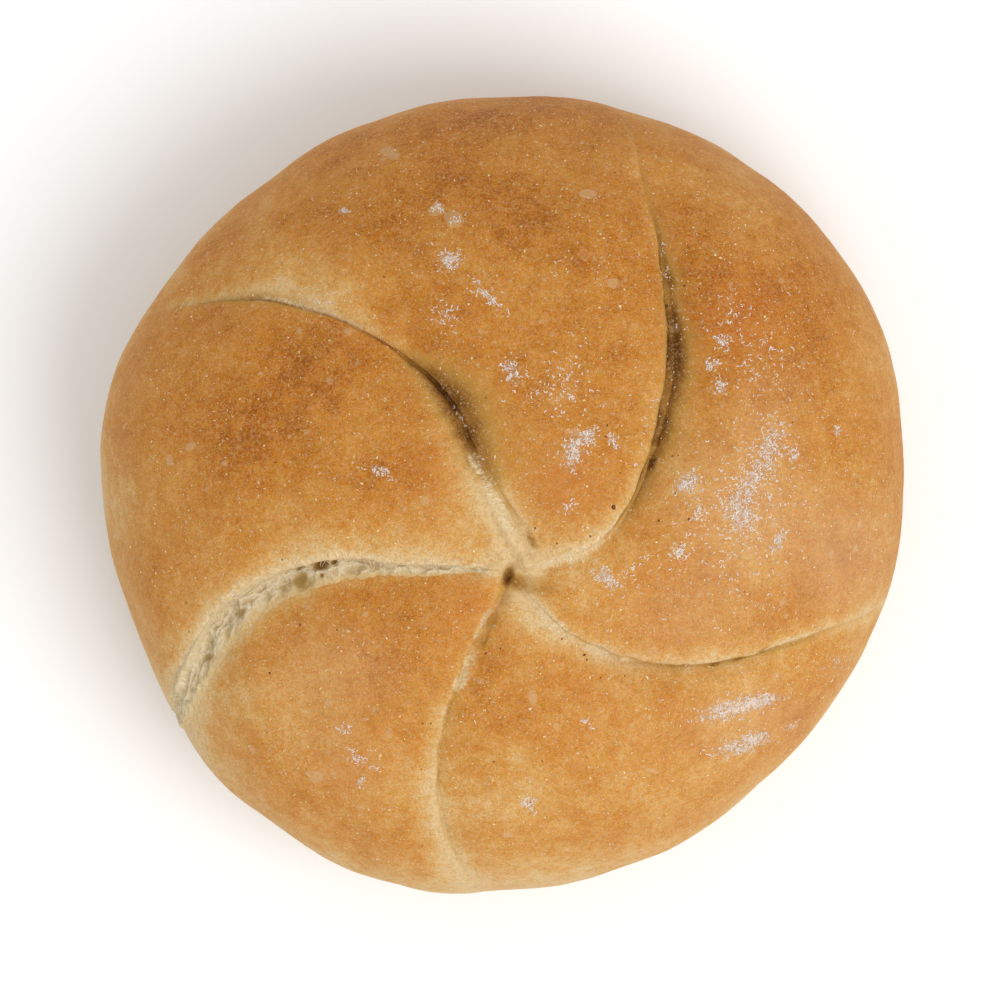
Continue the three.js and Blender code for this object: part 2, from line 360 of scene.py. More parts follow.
def cut_down_the_rows(index):
    """One cut's values for every row: edges as bearings, and depths in mm."""
    cut = CUTS[CUT_NAMES[index]]
    to_degrees = np.degrees(1 / ring)
    starts = cut.get("starts", USUAL_START)
    runs_out = smoothstep(reach, starts - 0.08, starts) * cut_fade
    every_row = {key: np.maximum(along(cut.get(key, [0, 0]), reach), 0) for key in
                 ("gap", "depth", "pit", "under", "crease", "room", "cream_before", "cream_after")}
    open_share = 0.75 + 0.5 * down_the_rows(index * 7.3 + 2, 2.2)
    half_gap = every_row["gap"] * cut_fade / 2
    edge_before = np.maximum(half_gap + wander(index * 7.3 + 1) * runs_out, 0.05)
    edge_after = np.maximum(half_gap + wander(index * 7.3 + 4) * runs_out, 0.05)
    middle = along(cut["bearing"], reach)
    shares, torn_before, torn_after = np.array(cut["torn"]).T
    shreds = [1 + 0.45 * down_the_rows(index * 7.3 + side, 0.9)
              + 0.3 * down_the_rows(index * 7.3 + side, 0.35) for side in (5, 6)]
    return dict(
        torn_before=np.interp(travel, shares, torn_before) * shreds[0] * cut_fade,
        torn_after=np.interp(travel, shares, torn_after) * shreds[1] * cut_fade,
        middle=middle,
        start=middle - edge_before * to_degrees,
        end=middle + edge_after * to_degrees,
        before=every_row["depth"] * runs_out * cut["lips"][0],
        after=every_row["depth"] * runs_out * cut["lips"][1],
        pit=every_row["pit"] * runs_out * np.clip(open_share, 0.5, 1),
        room=every_row["room"] * runs_out,
        under=every_row["under"] * runs_out * to_degrees,
        cream_before=np.maximum(every_row["cream_before"], 0.3),
        cream_after=np.maximum(every_row["cream_after"], 0.3),
        crease=every_row["crease"] * smoothstep(reach, 0.1, 0.22) * cut_fade
        * np.clip(open_share + 0.35, 0.7, 1),
        lean=cut["lean"],
        flanks=cut["flanks"],
        damp_and_shade=cut["damp_and_shade"],
        plump_before=None if cut["lips"][0] > cut["lips"][1] else cut["plumpness"],
        plump_after=None if cut["lips"][0] < cut["lips"][1] else cut["plumpness"],
    )


# %% [markdown]
# Now the cuts are laid out over the whole sheet. `bearing` and `sunk` shape the skin. `cream`
# and `crease` are remembered for its colours. `crease` is painted shade in the folds, with the
# olive of wet dough: it spreads up the soft slope of the low side, and hardly any over the lip
# of the high one.

# %% Lay the cuts and petals on the sheet
cut_rows = [cut_down_the_rows(k) for k in range(len(CUTS))]
bearing, tucked, sunk, cream, crease, torn, off_cut = np.zeros((7, ROWS + 1, COLUMNS))


def damp_and_shade(amount, distance, spread):
    """Painted shade where the dough folds under, dark there, with an olive tint of wet dough that
    reaches two or three times as far.
    """
    near = spread * (0.25 + 0.75 * amount[:, None])
    far = 0.6 + 2.0 * spread
    return amount[:, None] * (0.78 * np.exp(-((distance / near) ** 1.5))
                              + 0.22 * np.exp(-((distance / far) ** 2)))


def tornness(breadth):
    return smoothstep(breadth, 0.05, 0.5)[:, None]


def paleness(breadth):
    return smoothstep(breadth, 0.3, 2.3)[:, None]


def torn_skin(breadth, distance):
    """1 where the skin is torn, falling to nought over the ragged edge of a breadth in mm."""
    reached = distance / np.maximum(breadth[:, None], 0.05)
    return tornness(breadth) * (1 - smoothstep(reached, 0.1, 1.6))


def cream_band(breadth, distance):
    """Pale crust beside a cut: narrow bands are fainter than broad ones."""
    return paleness(breadth) * np.exp(-((distance / breadth[:, None]) ** 1.6))


for k, here in enumerate(cut_rows):
    following = cut_rows[(k + 1) % len(CUTS)]
    lap = 360 if k == len(CUTS) - 1 else 0
    first = k * SECTOR
    t = np.arange(GAP_COLUMNS) / GAP_COLUMNS
    dip = np.sin(math.pi * t ** (math.log(0.5) / math.log(here["lean"])))
    cols = slice(first, first + GAP_COLUMNS)
    start, end = here["start"][:, None], here["end"][:, None]
    bearing[:, cols] = start + (end - start) * t
    tucked[:, cols] = (here["under"][:, None] * np.sin(math.pi * t) ** 0.7
                       * (1 if here["plump_before"] is None else -1))
    sunk[:, cols] = (here["before"][:, None] * (1 - t) + here["after"][:, None] * t
                     + (here["pit"] + here["room"])[:, None] * dip)
    crease[:, cols] = here["crease"][:, None] * (0.72 + 0.28 * dip**2)
    cream[:, cols] = paleness(here["cream_before"]) * (1 - t) + paleness(here["cream_after"]) * t
    torn[:, cols] = tornness(here["torn_before"]) * (1 - t) + tornness(here["torn_after"]) * t
    off_cut[:, cols] = np.radians(bearing[:, cols] - here["middle"][:, None]) * ring[:, None]

    t = (np.arange(PETAL_COLUMNS) / PETAL_COLUMNS)[None, :]
    t = t - EDGE_CROWDING * np.sin(2 * math.pi * t) / (2 * math.pi)
    cols = slice(first + GAP_COLUMNS, first + SECTOR)
    start, end = here["end"][:, None], following["start"][:, None] + lap
    breadth = np.radians(end - start) * ring[:, None]
    from_here, from_next = t * breadth, (1 - t) * breadth
    flank_after = np.minimum(here["flanks"][1], breadth / 2)
    flank_before = np.minimum(following["flanks"][0], breadth / 2)
    bearing[:, cols] = start + (end - start) * t
    sunk[:, cols] = (
        here["after"][:, None] * edge_drop(from_here / flank_after, here["plump_after"])
        + following["before"][:, None] * edge_drop(from_next / flank_before,
                                                   following["plump_before"]))
    cream[:, cols] = (cream_band(here["cream_after"], from_here)
                      + cream_band(following["cream_before"], from_next))
    crease[:, cols] = (damp_and_shade(here["crease"], from_here, here["damp_and_shade"][1])
                       + damp_and_shade(following["crease"], from_next, following["damp_and_shade"][0]))
    torn[:, cols] = (torn_skin(here["torn_after"], from_here)
                     + torn_skin(following["torn_before"], from_next))
    off_cut[:, cols] = np.where(from_here < from_next, from_here + 0.3, -from_next - 0.3)
print("deepest groove, mm:", round(float(sunk.max()), 2))

# %% [markdown]
# ## Wrapping the sheet
# Now the sheet takes its shape. Every point goes to its place on the loaf and then in along
# the surface normal by what the cuts, the star and the lumps take away or add. Welding the
# doubles closes the seam where the first column meets the last, and the two poles.

# %% Small forms near the star
# x, y, half length, half breadth, heading, height, squareness: mm and degrees. Negative
# heights are holes. A squareness of 1 is a soft bump, and more has a flatter middle.
STAR_FORMS = [
    (0.8, -10.1, 1.3, 0.65, 72, -1.6, 1.7),  # the hole at the middle
    (2.1, -10.9, 1.6, 1.0, -20, -0.8, 1.3),  # its sloping side
    (1.4, -5.2, 4.9, 1.0, -61, 0.9, 1.6),  # a finger of dough that curls in beside it
    (3.2, -8.5, 1.1, 1.1, -60, 0.6, 1.8),
    (-0.9, -5.2, 4.2, 1.7, -61, 0.6, 1.2),  # the petal's tip that the finger grows out of
    (-0.9, -9.2, 1.4, 0.55, 25, 0.4, 1.5),  # the saddle between the hole and the west petal
    (4.6, -11.2, 2.2, 1.1, -5, -0.8, 1.2),  # a valley below the finger
    (-1.4, -15.7, 1.2, 0.75, 62, -0.35, 3.0),  # two scalloped pits in the south cut
    (-2.4, -18.1, 1.2, 0.6, 65, -0.35, 3.0),
    (1.7, -2.6, 3.6, 0.35, -57, -0.4, 1.5),  # the crack between the finger and the top petal
    (3.6, -5.6, 1.3, 0.4, -60, -0.7, 1.5),
]


def plan_spot(points, x, y, length, breadth, heading, squareness=1.5):
    """1 at the middle of an oval in plan, falling to nought around it."""
    a = math.radians(heading)
    right, up = points[..., 0] - x, points[..., 1] - y
    lengthways = (right * math.cos(a) + up * math.sin(a)) / length
    crossways = (up * math.cos(a) - right * math.sin(a)) / breadth
    return np.exp(-((lengthways**2 + crossways**2) ** squareness))


def star_forms(points):
    total = -STAR_BOWL[0] * np.exp(-(np.hypot(*(points[..., :2] - STAR).T).T / STAR_BOWL[1]) ** 2)
    for *oval, height, squareness in STAR_FORMS:
        total = total + height * plan_spot(points, *oval, squareness)
    return np.where(points[..., 2] > BELLY_HEIGHT, total, 0)


def lumps(points):
    """The long waves that the solid has too."""
    total = 0
    for i in range(LUMP_WAVES):
        heading = math.radians(i * GOLDEN_ANGLE)
        run = (points[..., 0] * math.cos(heading) + points[..., 1] * math.sin(heading)
               + points[..., 2] / 2)
        length = LUMP_LENGTHS[0] + (LUMP_LENGTHS[1] - LUMP_LENGTHS[0]) * i / (LUMP_WAVES - 1)
        total = total + np.sin(2 * math.pi * run / length + i * LUMP_PHASE)
    ease = smoothstep(points[..., 2], 0, FOOT_EASE)
    return LUMP_HEIGHT * total * ease / math.sqrt(LUMP_WAVES)


# %% Wrap, press and weld
rows_grid = np.repeat(row[:, None], COLUMNS, axis=1)
loaf, outward = loaf_point(bearing + tucked, rows_grid)
DIMPLE_SIZES = [(7.0, 0.16), (2.6, 0.06)]  # mm across, mm high: the skin's finer unevenness


def dimples(points):
    flat_points = points.reshape(-1, 3)
    total = np.zeros(len(flat_points))
    for size, height in DIMPLE_SIZES:
        total += height * np.array([noise.noise(Vector(p / size)) for p in flat_points])
    return total.reshape(points.shape[:-1])


shreds_raised = np.zeros_like(bearing)
for i, j in np.argwhere(torn > 0.02):  # drawn out across the cut, so narrow along it
    strand = Vector((travel[i] * OUTLINE_RADIUS / 0.5, off_cut[i, j] / 1.5, j // SECTOR))
    shreds_raised[i, j] = min(torn[i, j], 1) * 0.06 * noise.noise(strand)
shreds_raised *= smoothstep(reach, 0.01, 0.05)[:, None]  # the middle stays one point
raised = (lumps(loaf) + star_forms(loaf) + shreds_raised
          + dimples(loaf) * smoothstep(loaf[..., 2], 0.5, 6))
skin = loaf + outward * (raised - sunk)[..., None]
skin_low, skin_high = skin.reshape(-1, 3).min(axis=0), skin.reshape(-1, 3).max(axis=0)
skin[..., :2] -= (skin_low[:2] + skin_high[:2]) / 2
print("skin, mm:", np.round(skin_high - skin_low, 2))

# %% [markdown]
# ## Baking marks
# The oven doesn't brown a roll evenly. These marks are stored on the skin's vertices as named
# attributes, which the crust's material reads: `bake` for how brown, `ruddy` for reddish
# spots, `cream` for the pale dough beside the cuts, `crease` for painted shade in the folds with
# the olive of wet dough, `torn` for shredded skin, `scab` for pale flat blisters, `haze` for a
# veil of flour and `flour` for a thicker film. `down_cut` and `off_cut` are mm along and across
# the cuts, for the strands of torn skin to follow. Vertex attributes stick to the surface, so
# they can't slide.

# %% Browning and reddening, in plan
# x, y, radius, amount: mm. Positive amounts are browner.
BROWNED = [
    # The spot at -46, 2 is painted light: it makes the shaded left rim paler.
    (-29, 9, 14, 0.27), (-46, 2, 7, -0.16), (-14, 2, 7, 0.08), (-24, -3.5, 7, -0.22),
    (-5, 40, 18, 0.22), (12, 32, 12, 0.06), (-18, -13, 9, 0.2), (-12, -20, 6, 0.1),
    (28, 24, 11, 0.16), (26, 10, 8, 0.14), (26, -4, 9, -0.08), (38, 2, 10, -0.08),
    (24, -34, 12, -0.08), (-34, -26, 10, -0.18), (-20, -40, 10, -0.1),
    (-20, -26, 7, -0.06), (0, -46, 14, -0.22), (-5.5, -3.5, 5, -0.32), (3.5, -3.5, 3.2, -0.16),
    (-14, -5.5, 4, -0.22), (-21, -5.5, 3.5, -0.18), (-23, 27.5, 4.5, -0.3),
    (-29.5, 26, 3.5, -0.25), (-17.5, 25.5, 3, -0.12), (3, -14.5, 4, -0.22),
    (15.5, -23, 4.5, -0.24), (26, -22.5, 4, -0.16), (10, -11, 4.5, -0.18), (22.5, 3, 3.2, -0.2),
    (23.2, 10, 3, -0.2), (24, 17, 2.6, -0.14), (-3.6, -31, 3.2, -0.16), (-3.4, -38, 3.2, -0.16),
    (29, 22, 6, 0.1), (-10, -15.6, 5, 0.1), (8.5, 2.5, 5, 0.1), (-33, -28.5, 4.5, -0.1),
    (35, -20.5, 5, -0.12), (42, -17, 4, -0.1),
]
RUDDY = [
    (29.5, 22, 5.5, 0.9), (7.6, 1.5, 4.5, 0.9), (-19, -33, 5, 0.7), (-4.5, -13, 3.5, 0.6),
    (-9, 3, 5, 0.4), (12, -24, 7, 0.3), (18, -14, 6, 0.2),
]
# x, y, half length, half breadth, heading, amount
# Painted shade with the olive of wet dough, added to `crease`: in the hole, its sloping side, the
# valley, the pits and the crack near the star, and in small spots along two cuts.
SHADED_DAMP_SPOTS = [
    (0.7, -10, 1.2, 0.5, 74, 0.6), (1.7, -10.6, 1.5, 0.9, -25, 0.4),
    (4.5, -11.2, 2.8, 1.3, -5, 0.22), (0.5, -12.3, 1.8, 1.2, 65, 0.25),
    (-1.2, -15.7, 1.1, 0.7, 62, 0.25), (-2.2, -18.1, 1.1, 0.55, 65, 0.25),
    (3.6, -5.6, 1.1, 0.3, -60, 0.5), (1.4, -2.2, 2.6, 0.35, -57, 0.2),
    (26.4, -21, 0.5, 0.2, 15, 0.6), (29.4, -20.3, 0.7, 0.22, 20, 0.5),
    (32.3, -19.3, 0.5, 0.2, 25, 0.6), (18.6, 3.9, 0.8, 0.4, 75, 0.8),
    (18.9, 6.7, 0.5, 0.4, 75, 0.8),
]
PALE_SPOTS = [
    (1.4, -5.6, 5, 1.6, -61, 1.8), (-0.6, -9.3, 1.6, 0.6, 20, 0.9), (-3.2, 4.6, 0.9, 0.6, -20, 1),
    (-2.6, -16.2, 2.6, 0.35, 62, 0.7),
]
# Tufts of torn skin away from a cut's edge
TUFTS = [
    (0.3, -3.2, 3.4, 0.9, -59, 0.8), (-3.3, 4.6, 1, 0.6, -25, 0.9),
    (-4, -20.9, 0.5, 0.8, 60, 0.8), (-5.3, -23.4, 0.6, 0.9, 60, 0.8),
]
# A thin veil of flour over a whole stretch of crust
HAZY = [
    (29, -1, 10, 8, 70, 0.6), (34, 11, 6, 5, 60, 0.3), (24, -15, 9, 6, 0, 0.4),
    (30, -28, 9, 4, 10, 0.5), (43, -8, 6, 8, 0, 0.5), (-20, -22, 8, 6, 0, 0.4),
    (38, -6, 8, 8, 0, 0.4),
]
SCABS = [
    (-14.3, 43, 0.9, 0.6, 20, 0.8), (-13.6, 42.2, 1, 0.8, 0, 0.9), (-8.2, 35.4, 1.1, 0.8, 40, 1),
    (-6, 34.2, 1.3, 1, 110, 1.2), (10.6, 37.4, 1.3, 0.7, 0, 0.9), (13.6, 26.2, 0.9, 0.8, 0, 0.9),
    (-38.6, 6, 0.9, 0.7, 40, 0.9), (-41.4, 4.4, 0.6, 1, 0, 0.8), (-19, 20.2, 0.9, 0.7, 0, 0.8),
    (-34.4, 3.8, 0.7, 0.5, 0, 0.8), (-48, -5, 0.6, 0.8, 0, 0.9), (3.8, -25, 0.8, 1.5, 10, 0.65),
    (18.6, -34.2, 1.3, 0.7, -20, 0.7), (0.8, -42.2, 0.9, 0.5, 0, 0.9),
    (-23, -35, 1.4, 1, 30, 0.7), (-14, -29.5, 0.8, 1.4, 0, 0.6),
]


def marks(points, spots):
    total = np.zeros(points.shape[:-1])
    for x, y, radius, amount in spots:
        far = np.hypot(points[..., 0] - x, points[..., 1] - y) / radius
        total += amount * np.exp(-(far**2))
    return total


def oval_marks(points, ovals):
    return sum(amount * plan_spot(points, *oval) for *oval, amount in ovals)


# %% [markdown]
# Flour was thrown over the rolls before they were baked, from one side. It lies as streaks:
# each has a share of film, dusted thin over the crust, and a number of loose flecks that will
# be real grains further down.

# %% Flour streaks
# x, y, half length, half breadth, heading, film, flecks
FLOURED = [
    (33, 5.5, 4.4, 1.4, 68, 0.5, 100), (30.4, 1, 3, 1.6, 60, 0.35, 60),
    (29.4, -2.4, 2.6, 2, -60, 0.7, 85), (31, 2.5, 8, 5, 65, 0, 130),
    (23, 1.4, 1.6, 1, 40, 0.8, 40), (24.4, -2.2, 0.9, 0.7, 0, 0.5, 20),
    (22, -6.9, 1, 0.7, 40, 0.8, 22), (12.9, -10.3, 1.9, 0.8, -50, 0.9, 34),
    (16.5, -8.8, 3, 0.4, 35, 0.1, 16), (8.8, 5.4, 2.3, 1.1, 80, 1, 56),
    (10.8, 7.3, 1.2, 0.7, 55, 0.8, 22), (13.8, 6.6, 1.3, 0.4, -70, 0.8, 14),
    (8, -1.6, 1.2, 0.5, 35, 0.4, 10), (7.5, 13.5, 4, 2.6, 80, 0.2, 60),
    (1.2, 15, 1.6, 1, -60, 0.7, 26), (28.2, -26.6, 3.6, 1, 14, 1.1, 62),
    (32, -25.6, 2.6, 0.8, 8, 1, 40), (29, -31.4, 3, 0.9, 14, 1, 50),
    (31.8, -30.2, 1.6, 0.7, 5, 0.9, 24), (36, -28.8, 1.2, 0.5, 30, 0.5, 10),
    (-6.5, 29, 1.5, 1.1, 0, 0.8, 30), (-2, 24.8, 3, 0.45, -48, 0.6, 34),
    (-7.2, 22, 1.6, 1.2, 0, 0.3, 24), (-8, 35.6, 0.8, 0.4, 0, 0.6, 10),
    (-5.6, 34, 0.8, 0.4, 0, 0.6, 10), (-19.6, 35.3, 0.6, 0.4, 0, 0.9, 8),
    (27.3, 19, 0.9, 0.8, 0, 0.8, 22), (25.8, 16.2, 0.8, 0.6, 0, 0.6, 16),
    (27, 13.4, 0.9, 0.7, 0, 0.8, 22), (31.5, 15.5, 4.4, 2.8, 60, 0.1, 45),
    (28.5, 22.5, 2.4, 1.6, 60, 0.1, 26), (34.2, -5.6, 1.8, 0.6, 60, 0.7, 22),
    (36, 5, 0.9, 0.5, -60, 0.6, 14), (41.6, 8, 0.7, 0.4, -60, 0.6, 8), (27, -8, 6, 4, 0, 0, 60),
    (-15, 3, 1.5, 0.5, -25, 0.6, 18), (-17.4, -32.8, 2.2, 0.5, -35, 0.4, 22),
    (-19.4, -29, 0.8, 0.6, 0, 0.3, 12), (3.4, -38.4, 1.2, 0.6, -50, 0.7, 18),
    (10.4, -28.2, 0.8, 0.3, -45, 0.5, 8), (42, -21, 1.4, 1, 40, 0.4, 8),
    (-17.6, -35.8, 0.6, 0.5, 0, 0.6, 8), (-5.4, 10, 5, 0.1, -60, 0, 8),
    (-22, 24, 3, 0.3, 0, 0, 8), (17.6, 8, 5, 0.3, 75, 0, 8), (20.4, 28, 5, 0.3, 100, 0, 8),
]

# %% Keep the marks
PALE_SIDE = -115.0  # the bearing whose rim stayed palest
upper = smoothstep(skin[..., 2], 10, 34)
rim_bearing = np.arctan2(skin[..., 1], skin[..., 0])
pale_rim = (0.5 + 0.5 * np.cos(rim_bearing - math.radians(PALE_SIDE))) * smoothstep(
    rows_grid, DOME_ROWS * 0.72, DOME_ROWS * 1.02)
bake = 0.32 + 0.22 * upper + marks(skin, BROWNED) * (0.4 + 0.6 * upper) - 0.3 * pale_rim
bake = bake - 0.12 * smoothstep(rows_grid, DOME_ROWS, DOME_ROWS + SIDE_ROWS * 0.7)
bake = np.where(rows_grid > DOME_ROWS + SIDE_ROWS, 0.45, bake)
skin_marks = dict(
    bake=bake,
    ruddy=marks(skin, RUDDY) * upper,
    cream=np.clip(cream * cut_fade[:, None] + oval_marks(skin, PALE_SPOTS) * upper, 0, 1.5),
    haze=oval_marks(skin, HAZY) * upper,
    torn=np.clip(torn + oval_marks(skin, TUFTS) * upper, 0, 1),
    down_cut=np.repeat(travel[:, None] * OUTLINE_RADIUS, COLUMNS, axis=1),
    off_cut=off_cut,
    crease=np.clip(crease + oval_marks(skin, SHADED_DAMP_SPOTS) * upper, 0, 1),
    scab=oval_marks(skin, SCABS) * (skin[..., 2] > BELLY_HEIGHT / 2),
    flour=oval_marks(skin, [streak[:-1] for streak in FLOURED]) * upper,
)


def lay_on_sheet(grid_values):
    return grid_values[sheet_row, sheet_column]


sheet.vertices.foreach_set("co", (lay_on_sheet(skin) * MM).ravel())
for name, values in skin_marks.items():
    layer = sheet.attributes.new(name, "FLOAT", "POINT")
    layer.data.foreach_set("value", lay_on_sheet(values).astype(np.float32))

dough = bmesh.new()
dough.from_mesh(sheet)
bmesh.ops.remove_doubles(dough, verts=dough.verts[:], dist=1e-7)
bmesh.ops.recalc_face_normals(dough, faces=dough.faces[:])
open_edges = sum(1 for edge in dough.edges if not edge.is_manifold)
for face in dough.faces:
    face.smooth = True
dough.to_mesh(sheet)
print("crust: volume, cm3:", round(dough.calc_volume(signed=True) * 1e6, 1), "open edges:", open_edges)
skin_tree = BVHTree.FromBMesh(dough)  # finds where a falling grain lands
dough.free()
crust = put_in_scene("crust", sheet)
print("crust triangles:", count_triangles(sheet))

# %% [markdown]
# ## Materials
# Small helpers keep the node set-ups readable. They all add to `tree`, the node tree being made
# just then: `add` makes a node and plugs in its inputs, and `ramp` makes a colour ramp from a
# list of stops.

# %% Node helpers
tree = None


def plug(value, socket):
    """A link from another node's output, or a plain setting."""
    if isinstance(value, bpy.types.NodeSocket):
        tree.links.new(value, socket)
    else:
        socket.default_value = value


def add(kind, inputs=None, **settings):
    made = tree.nodes.new(kind)
    for key, value in settings.items():
        setattr(made, key, value)
    for key, value in (inputs or {}).items():
        plug(value, made.inputs[key])
    return made


def ramp(factor, stops):
    made = add("ShaderNodeValToRGB", {"Fac": factor})
    elements = made.color_ramp.elements
    while len(elements) < len(stops):
        elements.new(1)
    for element, (position, colour) in zip(elements, stops):
        element.position = position
        element.color = (*colour, 1)
    return made.outputs["Color"]


def maths(operation, *values, clamp=False):
    made = add("ShaderNodeMath", dict(enumerate(values)), operation=operation, use_clamp=clamp)
    return made.outputs[0]


# %% Helpers for sums, masks and noise
def times(a, b, clamp=False):
    return maths("MULTIPLY", a, b, clamp=clamp)


def plus(a, b, clamp=False):
    return maths("ADD", a, b, clamp=clamp)


def higher(a, b, clamp=False):
    return maths("MAXIMUM", a, b, clamp=clamp)


def mixed(share, first, second):
    """The first colour with a share of the second."""
    made = add("ShaderNodeMix", data_type="RGBA")
    colours = [c if isinstance(c, bpy.types.NodeSocket) else (*c, 1) for c in (first, second)]
    for key, value in zip(("Factor", "A", "B"), (share, *colours)):
        plug(value, next(s for s in made.inputs if s.name == key and s.enabled))
    return next(s for s in made.outputs if s.enabled)


def stepped(value, low, high):
    """0 below low, 1 above high, and smooth between."""
    return add("ShaderNodeMapRange", {"Value": value, "From Min": low, "From Max": high},
               interpolation_type="SMOOTHSTEP").outputs["Result"]


def noise_at(place, per_metre, detail=2.0, roughness=0.5, distortion=0.0, output="Fac"):
    return add("ShaderNodeTexNoise", {"Vector": place, "Scale": per_metre, "Detail": detail,
                                      "Roughness": roughness, "Distortion": distortion}
               ).outputs[output]


def centred(value, amount):
    """A noise of 0 to 1 as a swing about nought."""
    return times(maths("SUBTRACT", value, 0.5), amount)


def mark(name):
    return add("ShaderNodeAttribute", attribute_name=name).outputs["Fac"]


def on_object():
    return add("ShaderNodeTexCoord").outputs["Object"]


# %% Helpers for whole materials and groups
def new_material(name, roughness, specular):
    """A material and its shader. The helpers add to its tree from here on."""
    global tree
    material = bpy.data.materials.new(name)
    material.use_nodes = True
    tree = material.node_tree
    shader = tree.nodes["Principled BSDF"]
    shader.inputs["Roughness"].default_value = roughness
    shader.inputs["Specular IOR Level"].default_value = specular
    return material, shader


def roughen(shader, relief, distance):
    """Turns a relief into the shader's normals. At a relief of 1 it stands a distance high."""
    bump = add("ShaderNodeBump", {"Height": relief, "Distance": distance, "Strength": 1.0})
    tree.links.new(bump.outputs["Normal"], shader.inputs["Normal"])


def new_group(name, inputs, outputs):
    """A node group and the sockets it is given. The helpers add to it from here on."""
    global tree
    tree = bpy.data.node_groups.new(name, "ShaderNodeTree")
    for in_out, sockets in (("INPUT", inputs), ("OUTPUT", outputs)):
        for label in sockets:
            kind = "NodeSocketVector" if label == "Place" else "NodeSocketFloat"
            tree.interface.new_socket(label, in_out=in_out, socket_type=kind)
    return tree, add("NodeGroupInput").outputs


# %% [markdown]
# ## Grain
# Crust and crumb share one fine grain: the dried skin of dough is a crackle of tiny blisters a
# quarter of a millimetre across. A node group holds it, so that both materials place the same
# grain with their own coarseness. `Grain` is plain noise. `Flecks` are short crooked ridges:
# lines where a second, stirred noise crosses its middle value, kept only where a third is high.

# %% Make the grain group
dough_grain, given = new_group("dough grain", ["Place", "Per Metre"], ["Grain", "Flecks"])
place, per_metre = given["Place"], given["Per Metre"]
fine = noise_at(place, per_metre, detail=3, roughness=0.7)
crooked = noise_at(place, times(per_metre, 0.55), detail=2, roughness=0.6, distortion=1.5)
ridges = maths("ABSOLUTE", maths("SUBTRACT", crooked, 0.5))
broken = stepped(noise_at(place, times(per_metre, 0.8)), 0.47, 0.56)
add("NodeGroupOutput", {"Grain": fine, "Flecks": times(stepped(ridges, 0.07, 0.015), broken)})


def grained(place, per_metre, output="Grain"):
    inputs = {"Place": place, "Per Metre": per_metre}
    return add("ShaderNodeGroup", inputs, node_tree=dough_grain).outputs[output]


# %% [markdown]
# ## The crust
# Crust is dough whose surface dried and browned. Its colour comes from one number, how much it
# has baked, through a ramp from cream dough over gold to brown. Clouds and grain of four
# sizes break that number up, so that no stretch is evenly coloured. Over it go small pink and
# ochre patches, the ruddy and hazy spots, and in the folds painted shade: olive, brown and
# dark, with the olive of wet dough.

# %% Crust colours
CREAM_DOUGH = (0.65, 0.465, 0.230)
YELLOW_CRUST = (0.615, 0.350, 0.108)
GOLD_CRUST = (0.545, 0.226, 0.036)
BROWN_CRUST = (0.43, 0.142, 0.010)
DARK_CRUST = (0.28, 0.075, 0.004)
RUDDY_CRUST = (0.50, 0.14, 0.025)
# Painted shade in the folds, olive to brown to dark, with the olive of wet dough
OLIVE_WET_AND_SHADE = (0.45, 0.235, 0.042)
CREASE_SHADE_BROWN = (0.27, 0.115, 0.016)
CREASE_SHADE_DARK = (0.12, 0.045, 0.005)
HAZE_PEACH = (0.66, 0.43, 0.26)
BLISTER_SKIN = (0.62, 0.41, 0.225)
GLINT_PINK = (0.68, 0.40, 0.17)
FLOUR_WHITE = (0.74, 0.62, 0.54)
SPECK_BROWN = (0.16, 0.055, 0.012)
SPARK = (0.84, 0.66, 0.40)
TORN_GREY = (0.67, 0.49, 0.25)
TORN_WHITE = (0.82, 0.67, 0.44)
PINK_CRUST = (0.62, 0.28, 0.115)
OCHRE_CRUST = (0.48, 0.235, 0.032)
CRUMB_GREY = (0.53, 0.40, 0.20)
CRUMB_WHITE = (0.76, 0.63, 0.43)
CRUMB_OLIVE = (0.44, 0.28, 0.09)

crust_material, shader = new_material("crust", roughness=0.62, specular=0.15)
place = on_object()

# %% How brown each spot is
clouds = noise_at(place, 1000 / 11, detail=3, roughness=0.6)
mottle = noise_at(place, 1000 / 2.2, detail=4, roughness=0.65)
grain = grained(place, 1000 / 0.6)
fine_grain = grained(place, 1000 / 0.22)
baked = mark("bake")
for source, swing in ((clouds, 0.85), (mottle, 0.7), (grain, 0.6), (fine_grain, 1.25)):
    baked = plus(baked, centred(source, swing))
baked = maths("SUBTRACT", baked, times(mark("cream"), 0.5), clamp=True)
colour = ramp(baked, [(0.0, CREAM_DOUGH), (0.2, YELLOW_CRUST), (0.48, GOLD_CRUST),
                      (0.78, BROWN_CRUST), (1.0, DARK_CRUST)])
tone = noise_at(place, 1000 / 0.75, detail=3, roughness=0.6)
crease_swing = plus(centred(fine_grain, 1.0), centred(mottle, 1.0))
fold_shade_share = times(mark("crease"), plus(crease_swing, 1.0))
for share, layer in (
    (times(stepped(tone, 0.52, 0.68), 0.3), PINK_CRUST),
    (times(stepped(tone, 0.48, 0.32), 0.45), OCHRE_CRUST),
    (times(mark("ruddy"), 0.45), RUDDY_CRUST),
    (times(mark("haze"), 0.3), HAZE_PEACH),
    # painted shade in the folds, with the olive of wet dough
    (times(stepped(fold_shade_share, 0.0, 0.4), 0.85), OLIVE_WET_AND_SHADE),
    (stepped(fold_shade_share, 0.2, 0.75), CREASE_SHADE_BROWN),
    (stepped(fold_shade_share, 0.65, 1.1), CREASE_SHADE_DARK),
):
    colour = mixed(share, colour, layer)

# %% [markdown]
# Baking dough steams, and its skin is full of pale flat blisters, pin-pricks of brown and
# glints where a bubble burst. Voronoi cells scatter the blisters, and their edges are bent by
# noise, because perfect circles would look like a printed pattern.

